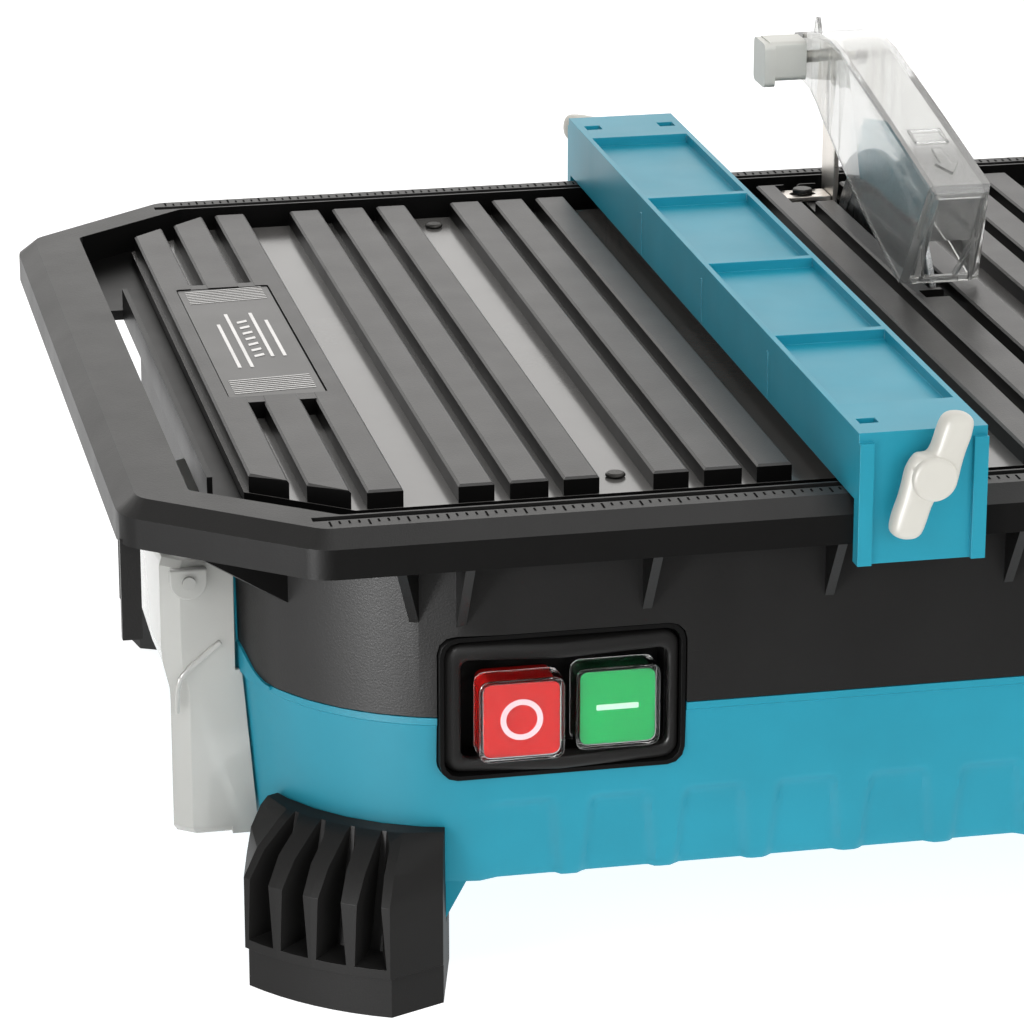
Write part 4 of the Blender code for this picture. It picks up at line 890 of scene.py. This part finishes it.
def cover_ring(z, bulge, drawn_in, wall=0.0):
    """The cover's plan at one height. Its side towards the body is flat, and stays in its plane."""
    plan = []
    for (wx, wy), (bx, by) in zip(WEDGE_PLAN, BULGE_PLAN):
        x, y = wx + (bx - wx) * bulge, wy + (by - wy) * bulge
        inward = wall + drawn_in
        if x > 32.0:
            x = 44.0 if wall else x
        else:
            x = x + inward
        y = y + inward if y < 70.0 else y
        y = y - inward * 1.6 if y > 140.0 else y
        plan.append((x, y))
    return [(x, y, z) for x, y in plan]


def cover():
    """Clear splash cover: a flat wedge below, swelling to a bulge above, with a lip on its front."""
    piece = loft("battery_cover_finish", [cover_ring(*station) for station in COVER_STATIONS])
    room = [cover_ring(z, bulge, drawn_in, COVER_WALL) for z, bulge, drawn_in in COVER_STATIONS]
    for index, lift in ((0, COVER_WALL), (1, COVER_WALL), (-2, -COVER_WALL), (-1, -COVER_WALL)):
        room[index] = [(x, y, z + lift) for x, y, z in room[index]]
    del room[-3]
    cut(piece, loft("room", room), prism("latch_hole", circle(LATCH, 1.8, 16), "y", 58.0, 67.0))
    hinge_x, hinge_y = HINGE
    join(piece, prism("knuckle", circle(HINGE, 3.2, 24), "z", 83.4, 98.6),
         box("web", (hinge_x - 1.0, hinge_x + 2.6), (144.0, hinge_y - 2.0), (85.4, 96.6)),
         prism("flange", COVER_FLANGE, "y", 62.0, 62.0 + COVER_WALL))
    cut(piece, prism("pin_hole", circle(HINGE, 1.6, 16), "z", 78.0, 102.0))
    finish(piece, "battery_cover", width=0.5, segments=3, angle=28.0, look=COVER_CLEAR)
    finish(prism("cover_lip", COVER_LIP, "y", 60.9, 62.3), "battery_cover", width=0.45, segments=3,
           look=COVER_CLEAR, stands_for=False)
    tube = prism("cover_boss", circle(BOSS, 2.9, 24), "y", 63.6, 70.0)
    finish(cut(tube, prism("bore", circle(BOSS, 1.4, 16), "y", 62.0, 72.0)), "battery_cover",
           width=0.3, look=COVER_CLEAR, stands_for=False)
    finish(copied("cover_latch"), "cover_latch", width=0.5, segments=3, look=COVER_CLEAR)


# ---------------------------------------------------------------- all pieces

table()
rule_marks()
deck()
badge()
tub()
bezel()
buttons()
fence()
guard()
cover()
for corner in ("front_left", "front_right", "back_left", "back_right"):
    finish(copied(f"foot_{corner}"), f"foot_{corner}", width=0.5)
for node in sorted(set(frame["nodes"]) - NODES_DONE):
    finish(copied(node), node)


# ---------------------------------------------------------------- camera, floor and light

CAMERA_PLACE = (-0.3226, -1.1687, 0.4930)       # metres, in the frame's axes, like all below
CAMERA_PITCH = 19.15            # degrees below the horizon
CAMERA_YAW = 11.86              # degrees to the right of +Y
LENS = 151.25                   # millimetres, on a sensor 36 mm wide


def camera():
    """A long lens from the front left, a little above the table."""
    data = bpy.data.cameras.new("camera")
    data.sensor_width = 36.0
    data.lens = LENS
    data.clip_start = 0.05
    data.clip_end = 60.0
    made = bpy.data.objects.new("camera", data)
    bpy.context.scene.collection.objects.link(made)
    made.location = CAMERA_PLACE
    made.rotation_euler = (math.radians(90.0 - CAMERA_PITCH), 0.0, math.radians(-CAMERA_YAW))
    bpy.context.scene.camera = made


def sheet(name, x, y, z, look):
    """A flat rectangle facing up, in metres."""
    mesh = bpy.data.meshes.new(name)
    corners = [(x[0], y[0], z), (x[1], y[0], z), (x[1], y[1], z), (x[0], y[1], z)]
    mesh.from_pydata([Vector(c) for c in corners], [], [(0, 1, 2, 3)])
    mesh.materials.append(look)
    made = bpy.data.objects.new(name, mesh)
    bpy.context.scene.collection.objects.link(made)
    return made


def floor():
    """White studio paper that glows enough to stay white under the machine."""
    look, _, _, surface = shader("floor_paper")
    surface.inputs["Base Color"].default_value = (0.45, 0.45, 0.45, 1.0)
    surface.inputs["Roughness"].default_value = 0.9
    surface.inputs["Specular IOR Level"].default_value = 0.1
    surface.inputs["Emission Color"].default_value = (1.0, 1.0, 1.0, 1.0)
    surface.inputs["Emission Strength"].default_value = 0.88
    sheet("floor", (-12.0, 12.0), (-12.0, 12.0), 0.0, look)


def flag():
    """A black card in front of the machine that only glossy surfaces see, as a studio flag is used."""
    look, _, _, surface = shader("flag_card")
    surface.inputs["Base Color"].default_value = (0.01, 0.01, 0.01, 1.0)
    made = sheet("flag", (-0.25, 1.6), (-2.6, -0.24), 0.003, look)
    made.visible_camera = False
    made.visible_diffuse = False
    made.visible_shadow = False
    made.visible_transmission = False


def area_light(name, place, target, size, power, glossy=True, diffuse=True):
    """A rectangular light that faces its target. Power is in watts."""
    data = bpy.data.lights.new(name, "AREA")
    data.shape = "RECTANGLE"
    data.size, data.size_y = size
    data.energy = power
    made = bpy.data.objects.new(name, data)
    bpy.context.scene.collection.objects.link(made)
    made.location = place
    made.rotation_euler = (Vector(target) - Vector(place)).to_track_quat("-Z", "Y").to_euler()
    made.visible_glossy = glossy
    made.visible_diffuse = diffuse


def world():
    """A room whose wall behind the machine is bright, and whose ceiling and left wall are dim."""
    made = bpy.data.worlds.new("studio")
    made.use_nodes = True
    bpy.context.scene.world = made
    nodes, links = made.node_tree.nodes, made.node_tree.links
    back = nodes["Background"]
    place = nodes.new("ShaderNodeTexCoord")
    split = nodes.new("ShaderNodeSeparateXYZ")
    links.new(place.outputs["Generated"], split.inputs["Vector"])
    wall = ramp(nodes, links, split.outputs["Y"], 0.14, 1.75, -0.5, 0.6)
    ceiling = ramp(nodes, links, split.outputs["Z"], 1.0, 0.3, 0.55, 0.9)
    left = ramp(nodes, links, split.outputs["X"], 0.35, 1.0, -0.9, -0.25)
    strength = wall
    for part in (ceiling, left):
        product = nodes.new("ShaderNodeMath")
        product.operation = "MULTIPLY"
        links.new(strength, product.inputs[0])
        links.new(part, product.inputs[1])
        strength = product.outputs["Value"]
    links.new(strength, back.inputs["Strength"])
    back.inputs["Color"].default_value = (1.0, 0.985, 0.965, 1.0)


camera()
floor()
flag()
world()
area_light("key", (-1.5, -1.3, 1.1), (0.0, 0.0, 0.08), (0.9, 1.2), 10.0)
area_light("corner_strip", (-1.02, -0.93, 0.22), (-0.15, -0.14, 0.09), (0.20, 0.50), 60.0, diffuse=False)
area_light("top", (0.25, -0.55, 1.45), (0.0, 0.0, 0.10), (1.3, 0.8), 10.0)
area_light("fill", (0.6, -2.2, 0.9), (0.0, 0.0, 0.08), (1.6, 1.2), 21.0, glossy=False)
bpy.context.scene.view_settings.view_transform = "Standard"
